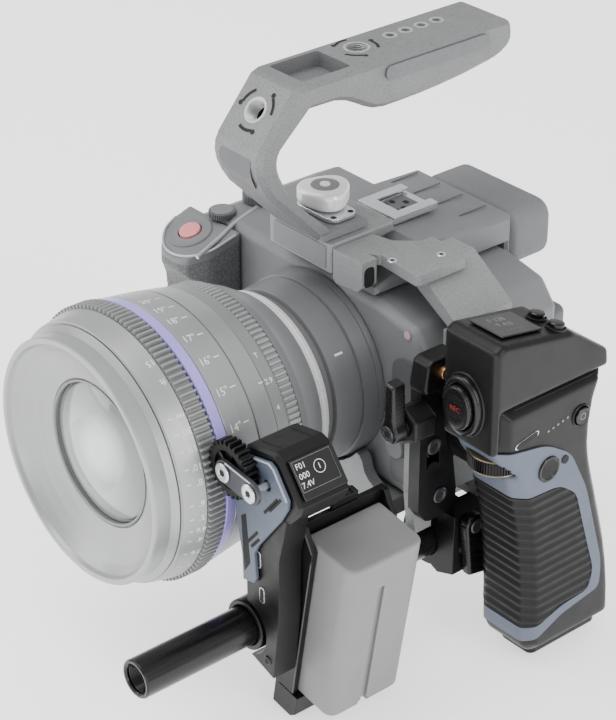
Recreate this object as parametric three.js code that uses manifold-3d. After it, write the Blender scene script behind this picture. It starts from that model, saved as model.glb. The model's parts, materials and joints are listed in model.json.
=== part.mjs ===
// Cinema camera rig: a hybrid camera in a half cage with a cine lens, a top handle,
// a rod-mounted follow-focus motor with its battery, and a side handgrip.
// Millimetres, +Z up. The origin is on the tripod face under the cage's base plate,
// the lens points along -Y, and +X is the side that carries the motor and the handgrip.
import * as THREE from 'three';
import { mergeVertices } from 'three/addons/utils/BufferGeometryUtils.js';
import Module from 'manifold-3d';

const wasm = await Module();
wasm.setup();

// ---------------------------------------------------------------- driving dimensions
const GAP = 0.3;                      // clearance left between pieces that touch
const LENS_FRONT_Y = -150;            // front rim of the lens
const AXIS_Z = 47;                    // height of the lens axis above the tripod face
const GEAR_MODULE = 0.8;              // follow-focus tooth module
const FOCUS_TEETH = 132;
const DRIVE_TEETH = 26;
const GEAR_BACKLASH = 0.3;            // extra centre distance of the gear pair
const GEAR_LINE_DEG = 16.3;           // direction from the lens axis to the drive gear
const ROD_RADIUS = 7.5;               // 15 mm support rod
const ROD_X = 60;
const ROD_Z = -4.7;
const ROD_FRONT_Y = -170.5;
const ROD_BACK_Y = -15;
const BODY_FRONT_Y = -35;             // front face of the camera body
const BODY_BACK_Y = 34;
const BODY_LEFT_X = 60;
const BODY_RIGHT_X = -80;
const BASE_TOP_Z = 7.7;
const CAGE_TOP_Z = 104.6;
const HANDLE_X = -3;                  // centre plane of the top handle
const HANDLE_HALF = 13.6;
const HANDLE_TOP_Z = 169;
const BATTERY_LEAN = THREE.MathUtils.degToRad(9.3);
const BATTERY_SIZE = { thick: 25, wide: 34.5, high: 71 };
const BATTERY_CORNER = { x: 77.6, y: -107.6, z: 37.4 };   // top, inner, front corner
const GRIP_INNER_X = 83;
const GRIP_OUTER_X = 110;

const focusGearY = [LENS_FRONT_Y + 19.4, LENS_FRONT_Y + 26.4];
const gearDistance = GEAR_MODULE * (FOCUS_TEETH + DRIVE_TEETH) / 2 + GEAR_BACKLASH;
const gearAngle = THREE.MathUtils.degToRad(GEAR_LINE_DEG);
const gearX = gearDistance * Math.cos(gearAngle);
const gearZ = AXIS_Z + gearDistance * Math.sin(gearAngle);
const driveGearY = [LENS_FRONT_Y + 21.6, LENS_FRONT_Y + 26.9];
const linkEnd = [75, 63.3];           // screw that fixes the gear's bearing link to the motor

// ---------------------------------------------------------------- finishes
const finish = (color, roughness, metalness) => new THREE.MeshStandardMaterial({ color, roughness, metalness });
const M = {
  lensGrey: finish(0xa2a3a4, 0.42, 0.55),
  lensDark: finish(0x8b8c8d, 0.5, 0.4),
  lavender: finish(0xb9aee4, 0.45, 0.2),
  silver: finish(0xe4e6e8, 0.22, 0.9),
  glass: finish(0xc9d0ce, 0.05, 0),
  cameraGrey: finish(0x8f9091, 0.6, 0.1),
  gripGrey: finish(0x868788, 0.75, 0),
  cageGrey: finish(0x9b9c9d, 0.55, 0.5),
  handleGrey: finish(0x9c9d9e, 0.6, 0.45),
  padGrey: finish(0x848586, 0.85, 0),
  pink: finish(0xf0b4b6, 0.4, 0),
  black: finish(0x1b1b1d, 0.5, 0.2),
  charcoal: finish(0x38383a, 0.55, 0.1),
  gunmetal: finish(0x5c5e66, 0.4, 0.6),
  blueGrey: finish(0x7f8794, 0.5, 0.2),
  rubber: finish(0x2b2b2c, 0.85, 0),
  screen: finish(0x202022, 0.15, 0),
  brass: finish(0xb98a64, 0.35, 0.9),
  battery: finish(0x9a9a9a, 0.6, 0),
};

// ---------------------------------------------------------------- building helpers
const group = new THREE.Group();

// Welds a geometry to positions only, drops collapsed triangles, and turns it right side out.
function weld(geometry) {
  const bare = geometry.clone();
  for (const name of Object.keys(bare.attributes)) if (name !== 'position') bare.deleteAttribute(name);
  const merged = mergeVertices(bare, 1e-4);
  const position = merged.attributes.position;
  const kept = [];
  const [a, b, c] = [new THREE.Vector3(), new THREE.Vector3(), new THREE.Vector3()];
  let volume = 0;
  for (let i = 0; i < merged.index.count; i += 3) {
    const tri = [merged.index.getX(i), merged.index.getX(i + 1), merged.index.getX(i + 2)];
    if (tri[0] === tri[1] || tri[1] === tri[2] || tri[0] === tri[2]) continue;
    a.fromBufferAttribute(position, tri[0]);
    b.fromBufferAttribute(position, tri[1]);
    c.fromBufferAttribute(position, tri[2]);
    volume += a.dot(b.cross(c));
    kept.push(...tri);
  }
  if (volume < 0) kept.reverse();
  merged.setIndex(kept);
  return merged;
}

function toSolid(geometry) {
  const welded = weld(geometry);
  const mesh = new wasm.Mesh({
    numProp: 3,
    vertProperties: new Float32Array(welded.attributes.position.array),
    triVerts: new Uint32Array(welded.index.array),
  });
  return new wasm.Manifold(mesh);
}

function fromSolid(solid) {
  const mesh = solid.getMesh();
  const geometry = new THREE.BufferGeometry();
  geometry.setAttribute('position', new THREE.BufferAttribute(new Float32Array(mesh.vertProperties), 3));
  geometry.setIndex(Array.from(mesh.triVerts));
  return geometry;
}

// Joins the first list of geometries and cuts the second list out of the result.
function carve(joined, cuts = []) {
  let solid = toSolid(joined[0]);
  for (const piece of joined.slice(1)) solid = solid.add(toSolid(piece));
  for (const piece of cuts) solid = solid.subtract(toSolid(piece));
  return fromSolid(solid);
}

function part(name, material, geometry, place = {}) {
  const shaped = weld(geometry);
  shaped.computeVertexNormals();
  const mesh = new THREE.Mesh(shaped, material);
  mesh.name = name;
  if (place.position) mesh.position.set(...place.position);
  if (place.rotation) mesh.rotation.set(...place.rotation);
  group.add(mesh);
  return mesh;
}

// A straight-sided outline, always counter-clockwise so that holes run the other way.
function outline(points) {
  const corners = points.map(([u, v]) => new THREE.Vector2(u, v));
  return new THREE.Shape(THREE.ShapeUtils.isClockWise(corners) ? corners.reverse() : corners);
}

function ringShape(outer, inner, centre = [0, 0]) {
  const shape = new THREE.Shape().absarc(centre[0], centre[1], outer, 0, Math.PI * 2);
  if (inner > 0) shape.holes.push(new THREE.Path().absarc(centre[0], centre[1], inner, 0, Math.PI * 2, true));
  return shape;
}

function roundedRect(u0, u1, v0, v1, radius) {
  const shape = new THREE.Shape();
  shape.absarc(u1 - radius, v1 - radius, radius, 0, Math.PI / 2);
  shape.absarc(u0 + radius, v1 - radius, radius, Math.PI / 2, Math.PI);
  shape.absarc(u0 + radius, v0 + radius, radius, Math.PI, Math.PI * 1.5);
  shape.absarc(u1 - radius, v0 + radius, radius, Math.PI * 1.5, Math.PI * 2);
  return shape;
}

// Extrudes a shape along a row axis from lo to hi; bevel chamfers both ends inward.
// The shape's plane is XY for axis z, XZ for axis y and YZ for axis x.
function prism(shape, axis, lo, hi, { bevel = 0, curveSegments = 12 } = {}) {
  const geometry = new THREE.ExtrudeGeometry(shape, {
    depth: hi - lo - 2 * bevel,
    curveSegments,
    bevelEnabled: bevel > 0,
    bevelThickness: bevel,
    bevelSize: bevel,
    bevelOffset: -bevel,
    bevelSegments: 1,
  });
  geometry.translate(0, 0, bevel);
  const toRow = new THREE.Matrix4();
  if (axis === 'x') {
    toRow.makeBasis(new THREE.Vector3(0, 1, 0), new THREE.Vector3(0, 0, 1), new THREE.Vector3(1, 0, 0));
    toRow.setPosition(lo, 0, 0);
  } else if (axis === 'y') {
    toRow.makeBasis(new THREE.Vector3(1, 0, 0), new THREE.Vector3(0, 0, 1), new THREE.Vector3(0, -1, 0));
    toRow.setPosition(0, hi, 0);
  } else {
    toRow.setPosition(0, 0, lo);
  }
  return geometry.applyMatrix4(toRow);
}

// A round piece about the Y axis through (x, z); profile points are [radius, y].
function turned(profile, segments = 36, x = 0, z = AXIS_Z) {
  const geometry = new THREE.LatheGeometry(profile.map(([r, y]) => new THREE.Vector2(r, y)), segments);
  return geometry.translate(x, 0, z);
}

// A lens ring: outer profile from front to back as [y from the lens front, radius], with a plain bore.
function lensRing(name, material, outer, bore) {
  const first = outer[0];
  const last = outer[outer.length - 1];
  const profile = outer.map(([y, r]) => [r, LENS_FRONT_Y + y]);
  profile.push([bore, LENS_FRONT_Y + last[0]], [bore, LENS_FRONT_Y + first[0]], [first[1], LENS_FRONT_Y + first[0]]);
  return part(name, material, turned(profile));
}

function cylinderAt(radius, length, position, direction, segments = 20) {
  const geometry = new THREE.CylinderGeometry(radius, radius, length, segments);
  const turn = new THREE.Quaternion().setFromUnitVectors(
    new THREE.Vector3(0, 1, 0),
    new THREE.Vector3(...direction).normalize(),
  );
  return geometry.applyQuaternion(turn).translate(...position);
}

function boxAt(x, y, z) {
  const geometry = new THREE.BoxGeometry(x[1] - x[0], y[1] - y[0], z[1] - z[0]);
  return geometry.translate((x[0] + x[1]) / 2, (y[0] + y[1]) / 2, (z[0] + z[1]) / 2);
}

// Spur gear outline with straight-flanked teeth; toothAngle is where one tooth points.
function gearShape(teeth, centre, toothAngle, bore) {
  const pitch = GEAR_MODULE * teeth / 2;
  const root = pitch - 1.2 * GEAR_MODULE;
  const tip = pitch + 0.92 * GEAR_MODULE;
  const step = Math.PI * 2 / teeth;
  const shape = new THREE.Shape();
  const corners = [[root, -0.32], [tip, -0.13], [tip, 0.13], [root, 0.32]];
  for (let i = 0; i < teeth; i += 1) {
    for (const [radius, share] of corners) {
      const angle = toothAngle + step * (i + share);
      const point = [centre[0] + radius * Math.cos(angle), centre[1] + radius * Math.sin(angle)];
      if (shape.currentPoint.lengthSq() === 0 && i === 0 && share < -0.3) shape.moveTo(...point);
      else shape.lineTo(...point);
    }
  }
  shape.closePath();
  shape.holes.push(new THREE.Path().absarc(centre[0], centre[1], bore, 0, Math.PI * 2, true));
  return shape;
}

// ---------------------------------------------------------------- lens
function buildLens() {
  const front = LENS_FRONT_Y;
  part('front_ring', M.lensGrey, turned([
    [45.2, front], [47.5, front], [47.5, front + 6.5], [49.6, front + 9.2], [43.5, front + 9.2],
    [27.6, front + 12.6], [27.6, front + 10.6], [37.5, front + 6.2], [44.4, front + 1.6], [45.2, front],
  ]));
  part('front_glass', M.glass, turned([
    [0, front + 5.2], [10, front + 5.9], [19, front + 8], [27.3, front + 11.6],
    [27.3, front + 15], [0, front + 15],
  ]));
  lensRing('focus_ring', M.lensGrey, [[9.6, 50.5], [19.1, 52.2]], 44);
  const focusToothStep = Math.PI * 2 / FOCUS_TEETH;
  const focusGear = gearShape(FOCUS_TEETH, [0, AXIS_Z], gearAngle + focusToothStep / 2, 44);
  part('focus_gear', M.lensDark, prism(focusGear, 'y', focusGearY[0], focusGearY[1], { curveSegments: 24 }));
  lensRing('accent_ring', M.lavender, [[27.2, 53.3], [31.7, 52.5]], 44);
  lensRing('scale_barrel', M.lensGrey, [
    [32, 52.2], [45.6, 50.4], [45.6, 49.6], [46.4, 49.6], [46.4, 50.2], [55.7, 48.6],
  ], 40);
  lensRing('iris_ring', M.lensDark, [
    [56, 48], [61.6, 47.6], [61.6, 46.4], [67.9, 46.2], [68, 46.8], [72, 45],
  ], 38);
  lensRing('rear_barrel', M.lensGrey, [[72.3, 43.8], [76, 43], [83.7, 38.4]], 32);
  lensRing('silver_ring', M.silver, [[84, 37.8], [88.4, 36.8]], 30);
  lensRing('mount_adapter', M.cameraGrey, [
    [88.7, 34.2], [92.6, 34], [92.6, 36], [104.4, 37], [104.4, 36.2], [105.4, 36.2], [105.4, 37.6], [111.7, 38.2],
  ], 29);
}

// ---------------------------------------------------------------- camera
function buildCamera() {
  const front = BODY_FRONT_Y;
  const bodyFace = outline([
    [BODY_RIGHT_X + 5, 8.3], [BODY_LEFT_X - 4, 8.3], [BODY_LEFT_X, 12.3], [BODY_LEFT_X, 72], [52, 82], [33, 85.6],
    [-66, 86], [BODY_RIGHT_X, 78], [BODY_RIGHT_X, 13.3],
  ]);
  part('camera_body', M.cameraGrey, prism(bodyFace, 'y', front, BODY_BACK_Y, { bevel: 2.5 }));
  const gripSide = new THREE.Shape();
  gripSide.moveTo(front - GAP, 9);
  gripSide.lineTo(front - GAP, 84.5);
  gripSide.lineTo(-55, 78);
  gripSide.quadraticCurveTo(-60, 75.6, -58.5, 70);
  gripSide.lineTo(-53, 64);
  gripSide.quadraticCurveTo(-49, 58, -51, 50);
  gripSide.lineTo(-57, 38);
  gripSide.lineTo(-56, 20);
  gripSide.quadraticCurveTo(-55, 11, -48, 9);
  gripSide.closePath();
  const gripPlan = outline([
    [-80, front - GAP], [-80, -44], [-77, -52], [-70, -58], [-62, -60], [-54, -57], [-49, -50], [-47, front - GAP],
  ]);
  const gripBlock = toSolid(prism(gripSide, 'x', -82, -45, { curveSegments: 4 }))
    .intersect(toSolid(prism(gripPlan, 'z', 5, 90)));
  const tilt = Math.atan2(6.5, 19.7);
  const buttonNormal = [0, -Math.sin(tilt), Math.cos(tilt)];
  const buttonWell = cylinderAt(4.9, 5, [-65.5, -46.5, 80.7], buttonNormal, 24);
  part('camera_grip', M.gripGrey, fromSolid(gripBlock.subtract(toSolid(buttonWell))));
  part('record_button', M.pink, cylinderAt(4.5, 3, [-65.5, -46.6, 81], buttonNormal, 24));
  part('body_mount_ring', M.cameraGrey, turned([
    [30, front - 3], [38, front - 3], [38.4, front - GAP], [30, front - GAP], [30, front - 3],
  ]));
  const hump = outline([
    [front + 2, 86.3], [front + 2, 89.5], [-12.5, 96], [-9, 99.6], [37, 97.6], [37, 79], [BODY_BACK_Y + GAP, 79],
    [BODY_BACK_Y + GAP, 86.3],
  ]);
  part('viewfinder_housing', M.cameraGrey, prism(hump, 'x', -25, 30, { bevel: 1.2 }));
  part('eyecup', M.padGrey, prism(roundedRect(-22, 30, 73, 97, 7), 'y', 37.4, 60, { bevel: 2.5, curveSegments: 4 }));
  part('hot_shoe', M.silver, carve(
    [boxAt([-10.6, 10.6], [-7, 15.6], [100.1, 103])],
    [boxAt([-9.3, 9.3], [-5, 17], [101, 102]), boxAt([-6.2, 6.2], [-1, 17], [101.5, 104])],
  ));
  part('mode_dial', M.cameraGrey, cylinderAt(7, 4, [-62, -14, 88.4], [0, 0, 1], 24));
  part('rear_screen', M.screen, prism(roundedRect(-19, 57, 16, 68, 3), 'y', BODY_BACK_Y + GAP, BODY_BACK_Y + 7, {
    bevel: 1, curveSegments: 3,
  }));
}

// ---------------------------------------------------------------- cage
function buildCage() {
  const plate = outline([
    [-39, -42], [47.8, -42], [47.8, -14], [51.5, -12], [51.5, 25], [46.5, 30], [-39, 30], [-44, 25], [-44, -37],
  ]);
  for (const [x, y] of [[-30, -22], [-30, 18], [-15, 18], [30, 18], [30, -22], [40, -2]]) {
    plate.holes.push(new THREE.Path().absarc(x, y, 3.3, 0, Math.PI * 2, true));
  }
  const horns = [1, -1].map((side) => {
    const horn = new THREE.Shape();
    horn.moveTo(side * 8, BASE_TOP_Z - 2);
    const inner = 39.2;
    const first = Math.acos(8 / inner);
    const last = Math.acos(30 / inner);
    for (let i = 0; i <= 5; i += 1) {
      const angle = first + (last - first) * i / 5;
      horn.lineTo(side * inner * Math.cos(angle), AXIS_Z - inner * Math.sin(angle));
    }
    for (const [x, z] of [[31.5, 21.5], [33.2, 19.5], [34.6, 15.4], [37, 12.8], [41, 10.6], [43, BASE_TOP_Z - 2]]) {
      horn.lineTo(side * x, z);
    }
    horn.closePath();
    return prism(horn, 'y', -42, -37);
  });
  part('cage_base', M.cageGrey, carve([prism(plate, 'z', 0, BASE_TOP_Z, { curveSegments: 4 }), ...horns]));

  const side = outline([
    [-44, 4], [-46, 22], [-46, 50], [-37, 66], [-28, 78], [-28, 84], [2, 84], [5, 66], [14, 44], [14, 4],
    [-12, 4], [-12, 16], [-36, 16], [-36, 4],
  ]);
  const sideHoles = [];
  for (const [y, z] of [[-36, 34], [-36, 46], [4, 30], [4, 44], [-6, 60], [-6, 74], [-18, 74]]) {
    sideHoles.push(cylinderAt(3.3, 12, [63.5, y, z], [1, 0, 0], 12));
  }
  const window = prism(roundedRect(-26, -8, 30, 49, 5), 'x', 58, 70, { curveSegments: 4 });
  const foot = boxAt([51.8, 62], [-10, 12], [4, BASE_TOP_Z]);
  part('cage_side_plate', M.cageGrey, carve([prism(side, 'x', 61, 66), foot], [...sideHoles, window]));

  const shoulder = outline([[61, 84.3], [66, 84.3], [66, 87], [45, 101], [33, 101], [33, 96.5], [41, 95.5]]);
  const lug = outline([[14.8, 91], [16.5, 89.4], [28.5, 90.6], [31, 93], [31, 103.2], [14.8, 103.2]]);
  const wing = outline([
    [14.8, -40.6], [19, -40.6], [30, -31], [50, -32.5], [51.5, -30.5], [51.5, -9], [48.5, -6.5], [31, -6.5],
    [31, -12], [24, -20], [14.8, -22],
  ]);
  part('cage_arm', M.cageGrey, carve(
    [
      prism(shoulder, 'y', -26, 2),
      prism(lug, 'y', -41.4, -34),
      prism(wing, 'z', 98.8, 103.2),
    ],
  ));

  const top = outline([[-42, 92.4], [-38, 92.4], [-37, 98], [-10.5, 100.4], [-10.5, CAGE_TOP_Z], [-42, CAGE_TOP_Z]]);
  part('cage_top_plate', M.cageGrey, prism(top, 'x', -21.4, 14.5));
}

// ---------------------------------------------------------------- top handle
function handleOutline() {
  const shape = new THREE.Shape();
  shape.moveTo(-43.6, CAGE_TOP_Z + GAP);
  shape.lineTo(-66.4, 128.5);
  shape.quadraticCurveTo(-76.4, 142, -70.8, 149.5);
  shape.lineTo(-55.5, HANDLE_TOP_Z - 1.3);
  shape.lineTo(-52, HANDLE_TOP_Z);
  shape.lineTo(48, HANDLE_TOP_Z);
  shape.quadraticCurveTo(53.6, 168, 53, 161);
  shape.quadraticCurveTo(51.5, 155, 41, 153.6);
  shape.bezierCurveTo(20, 150, 0, 149.8, -12, 149.9);
  shape.bezierCurveTo(-22, 150.2, -26, 157.5, -35.8, 158.8);
  shape.lineTo(-47.5, 159);
  shape.lineTo(-59.5, 148.2);
  shape.quadraticCurveTo(-65, 144.2, -61.6, 136);
  shape.quadraticCurveTo(-57.5, 126.5, -47.2, 116.5);
  shape.lineTo(-34.6, CAGE_TOP_Z + GAP);
  shape.closePath();
  return shape;
}

function buildHandle() {
  const x0 = HANDLE_X - HANDLE_HALF;
  const x1 = HANDLE_X + HANDLE_HALF;
  const faceNormal = [0, -18.2, 15.3];
  const holes = [
    cylinderAt(4.8, 14, [HANDLE_X - 2.5, -12.8, HANDLE_TOP_Z], [0, 0, 1]),
    cylinderAt(4.8, 14, [HANDLE_X, -62.9, 159], faceNormal),
  ];
  for (let i = 0; i < 4; i += 1) {
    holes.push(cylinderAt(2.1, 14, [HANDLE_X - 3.5, 4.5 + 7.9 * i, HANDLE_TOP_Z], [0, 0, 1], 12));
  }
  const pocket = prism(roundedRect(x0 + 4, x1 - 4, -49, -26, 1.5), 'z', 163, 172, { curveSegments: 2 });
  part('handle_frame', M.handleGrey, carve(
    [
      prism(handleOutline(), 'x', x0, x1, { bevel: 2, curveSegments: 5 }),
      boxAt([HANDLE_X - 14.5, HANDLE_X + 14.5], [-43.4, -21.5], [CAGE_TOP_Z + GAP, 107.6]),
    ],
    [...holes, pocket],
  ));
  const pad = roundedRect(-13, 39, 160.8, 166.4, 2.6);
  part('handle_pad_left', M.padGrey, prism(pad, 'x', x1 + GAP, x1 + 1.1, { curveSegments: 4 }));
  part('handle_pad_right', M.padGrey, prism(pad, 'x', x0 - 1.1, x0 - GAP, { curveSegments: 4 }));

  part('lock_base', M.silver, prism(roundedRect(-15.5, 7.5, -35.4, -21.8, 4), 'z', 107.9, 109.6, { curveSegments: 4 }));
  const lobes = 3;
  const knob = new THREE.Shape();
  const knobSteps = 36;
  for (let i = 0; i <= knobSteps; i += 1) {
    const angle = Math.PI * 2 * i / knobSteps;
    const radius = 9.9 + 0.9 * Math.cos(lobes * (angle + 0.35));
    const point = [-6.5 + radius * Math.cos(angle), -27 + radius * Math.sin(angle)];
    if (i === 0) knob.moveTo(...point);
    else if (i < knobSteps) knob.lineTo(...point);
  }
  part('lock_knob', M.silver, prism(knob, 'z', 109.9, 117.2, { bevel: 1.2 }));
}

// ---------------------------------------------------------------- bracket and rod
function buildBracket() {
  const plateSide = outline([
    [-48.5, 18], [-45, 13.2], [-43, 12.3], [-29.5, 12.3], [-29.5, 22], [-31.5, 36], [-29.5, 38.5], [-16, 38.5],
    [-14, 41], [-14, 60], [-24, 71.2], [-36.8, 71.2], [-37, 59.5], [-43.6, 69.4], [-44, 71.2], [-48.5, 71.2],
  ]);
  const slot = new THREE.Path().absarc(-41.7, 45.5, 3.2, 0, Math.PI, true);
  slot.absarc(-41.7, 34.5, 3.2, Math.PI, 0, true);
  plateSide.holes.push(slot);
  part('bracket_plate', M.black, prism(plateSide, 'x', 66.3, 72, { curveSegments: 6 }));
  const block = outline([[-51, 71.5], [-51.5, 74], [-50, 83], [-47.5, 84.6], [-36, 84.6], [-33, 81.6], [-33, 71.5]]);
  part('bracket_block', M.black, carve(
    [prism(block, 'x', 68, 77, { bevel: 0.8 })],
    [cylinderAt(2.8, 8, [77, -43.2, 79.2], [1, 0, 0], 16)],
  ));
  part('safety_pin', M.brass, cylinderAt(2.4, 4, [77.3, -43.2, 79.2], [1, 0, 0], 16));
  const hex = new THREE.Shape();
  for (let i = 0; i < 6; i += 1) {
    const angle = Math.PI * (i / 3 + 1 / 6);
    const point = [74.6 + 7.6 * Math.cos(angle), 61.5 + 7.6 * Math.sin(angle)];
    if (i === 0) hex.moveTo(...point);
    else hex.lineTo(...point);
  }
  part('clamp_hub', M.black, prism(hex, 'y', -60, -49, { bevel: 0.8 }));
  const lever = new THREE.Shape();
  lever.absarc(74.4, 61.2, 4.4, Math.PI * 0.78, Math.PI * 2.22);
  lever.lineTo(77, 67);
  lever.lineTo(76.6, 80.6);
  lever.lineTo(72.2, 81.4);
  lever.lineTo(72, 67);
  part('hub_lever', M.black, prism(lever, 'y', -67, -60.3, { bevel: 0.8, curveSegments: 8 }));

  const clamp = new THREE.Shape();
  clamp.moveTo(76.5, -14);
  clamp.lineTo(76.5, 12);
  clamp.lineTo(66.9, 12);
  clamp.lineTo(64, 6.6);
  clamp.absarc(ROD_X, ROD_Z, 11.5, Math.PI * 0.38, Math.PI * 1.62);
  clamp.lineTo(68, -17);
  clamp.closePath();
  clamp.holes.push(new THREE.Path().absarc(ROD_X, ROD_Z, ROD_RADIUS + GAP, 0, Math.PI * 2, true));
  part('rod_clamp', M.black, prism(clamp, 'y', -34, -17, { curveSegments: 16 }));
  const clampLever = new THREE.Shape();
  clampLever.absarc(-27, 8, 5, 0, Math.PI);
  clampLever.lineTo(-29.5, -14);
  clampLever.lineTo(-21.5, -15.5);
  part('rod_clamp_lever', M.black, prism(clampLever, 'x', 76.8, 81.4, { bevel: 0.7, curveSegments: 8 }));
  part('rosette_boss', M.black, cylinderAt(13, 10.4, [77.5, -22, 46], [1, 0, 0], 28));

  const wall = 2;
  part('support_rod', M.black, turned([
    [ROD_RADIUS - wall, ROD_FRONT_Y], [ROD_RADIUS - 0.5, ROD_FRONT_Y], [ROD_RADIUS, ROD_FRONT_Y + 0.5],
    [ROD_RADIUS, ROD_BACK_Y], [ROD_RADIUS - wall, ROD_BACK_Y], [ROD_RADIUS - wall, ROD_FRONT_Y],
  ], 32, ROD_X, ROD_Z));
}

// ---------------------------------------------------------------- follow-focus motor
const batteryUp = new THREE.Vector3(Math.sin(BATTERY_LEAN), 0, Math.cos(BATTERY_LEAN));
const batteryOut = new THREE.Vector3(Math.cos(BATTERY_LEAN), 0, -Math.sin(BATTERY_LEAN));

// Extrudes an outline drawn in the battery's leaning plane: out (away from the lens) and down from its top.
function leaning(points, y0, y1, bevel = 0) {
  const mapped = points.map(([out, down]) => [
    BATTERY_CORNER.x + out * batteryOut.x - down * batteryUp.x,
    BATTERY_CORNER.z + out * batteryOut.z - down * batteryUp.z,
  ]);
  return prism(outline(mapped), 'y', y0, y1, { bevel });
}

function buildMotor() {
  const headFront = -121;
  const head = outline([
    [61, 50.6], [61, 72], [63.4, 73.6], [76.5, 76.2], [79.5, 75.2], [91, 60.6], [89.6, 56.8], [84.2, 50.6],
  ]);
  const lower = new THREE.Shape();
  lower.moveTo(61, 52);
  lower.lineTo(61, 7.2);
  lower.absarc(ROD_X, ROD_Z, 11.6, Math.PI * 0.47, -Math.PI * 0.42, true);
  lower.lineTo(75.6, -20);
  lower.lineTo(78.7, 7);
  lower.lineTo(79.2, 33);
  lower.lineTo(82, 44.5);
  lower.lineTo(83.4, 51.5);
  lower.closePath();
  part('motor_housing', M.charcoal, carve([
    prism(head, 'y', headFront, -98.5, { bevel: 1.2 }),
    prism(lower, 'y', headFront, -110.8, { curveSegments: 8 }),
  ]));
  part('motor_clamp', M.black, prism(ringShape(9.9, ROD_RADIUS + GAP, [ROD_X, ROD_Z]), 'y', headFront - 0.6, -110.8, {
    curveSegments: 16,
  }));
  const sideFace = outline([
    [56.2, 68.6], [65.6, 70.7], [76.4, 73], [79, 71.8], [86.2, 62], [85.8, 58.4], [81.7, 51.3], [69.8, 35.4],
    [67.6, 31.2], [68.6, 21], [67.3, 18.3], [61.2, 17], [60.7, 28], [57.2, 46.5], [56.2, 50],
  ]);
  for (const [x, z, r] of [[gearX, gearZ, 2.6], [...linkEnd, 2.2]]) {
    sideFace.holes.push(new THREE.Path().absarc(x, z, r, 0, Math.PI * 2, true));
  }
  part('motor_side_plate', M.blueGrey, prism(sideFace, 'y', headFront - 1.8, headFront - GAP, { curveSegments: 5 }));

  const driveGear = gearShape(DRIVE_TEETH, [gearX, gearZ], gearAngle + Math.PI, 2.4);
  part('drive_gear', M.black, prism(driveGear, 'y', ...driveGearY, { curveSegments: 8 }));
  const link = new THREE.Shape();
  const linkTilt = Math.atan2(linkEnd[1] - gearZ, linkEnd[0] - gearX);
  link.absarc(gearX, gearZ, 4.6, linkTilt + Math.PI / 2, linkTilt + Math.PI * 1.5);
  link.absarc(...linkEnd, 4.6, linkTilt - Math.PI / 2, linkTilt + Math.PI / 2);
  for (const [x, z] of [[gearX, gearZ], linkEnd]) {
    link.holes.push(new THREE.Path().absarc(x, z, 2.4, 0, Math.PI * 2, true));
  }
  const linkBack = driveGearY[0] - GAP;
  const linkFront = linkBack - 1.6;
  part('gear_link', M.gunmetal, prism(link, 'y', linkFront, linkBack, { curveSegments: 6 }));
  const screwProfile = (shank) => [
    [0, headFront - GAP], [shank, headFront - GAP], [shank, linkFront - 0.2], [3.6, linkFront - 0.2],
    [3.6, linkFront - 0.7], [3, linkFront - 1.1], [0, linkFront - 1.1],
  ];
  part('gear_shaft', M.silver, turned(screwProfile(2), 20, gearX, gearZ));
  part('link_screw', M.silver, turned(screwProfile(1.3), 20, ...linkEnd));

  const tiltOut = Math.atan2(15.2, 12);
  part('motor_display', M.screen, new THREE.BoxGeometry(14.6, 19, 0.8), {
    position: [85.9 + 0.35, -109.2, 68.3 + 0.3],
    rotation: [0, tiltOut, 0],
  });

  const { thick, wide, high } = BATTERY_SIZE;
  const y0 = BATTERY_CORNER.y;
  const tray = [y0 - 2.7, y0 + wide + 2.7];
  const sideWall = [[-2.6, -5.2], [1.2, -5.2], [3.8, -1.6], [7.4, 2.4], [7.4, high], [-2.6, high]];
  part('battery_plate', M.black, carve([
    leaning([[-2.6, -5.2], [-0.4, -5.2], [-0.4, high + 1], [-2.6, high + 1]], ...tray),
    leaning(sideWall, tray[0], tray[0] + 2.3),
    leaning(sideWall, tray[1] - 2.3, tray[1]),
    leaning([[-2.6, high + 0.4], [10, high + 0.4], [10, high + 8.6], [7.4, high + 11], [-2.6, high + 11]], ...tray),
  ]));
  part('battery', M.battery, leaning([
    [0, 0], [thick - 1.6, 0], [thick, 1.6], [thick, high - 1.6], [thick - 1.6, high], [0, high],
  ], y0, y0 + wide, 1.2));
  part('battery_latch', M.black, leaning([
    [-4.6, -9.2], [-0.6, -9.2], [-0.6, -5.5], [-4.6, -5.5],
  ], y0 + 12, y0 + 24));
}

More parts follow.
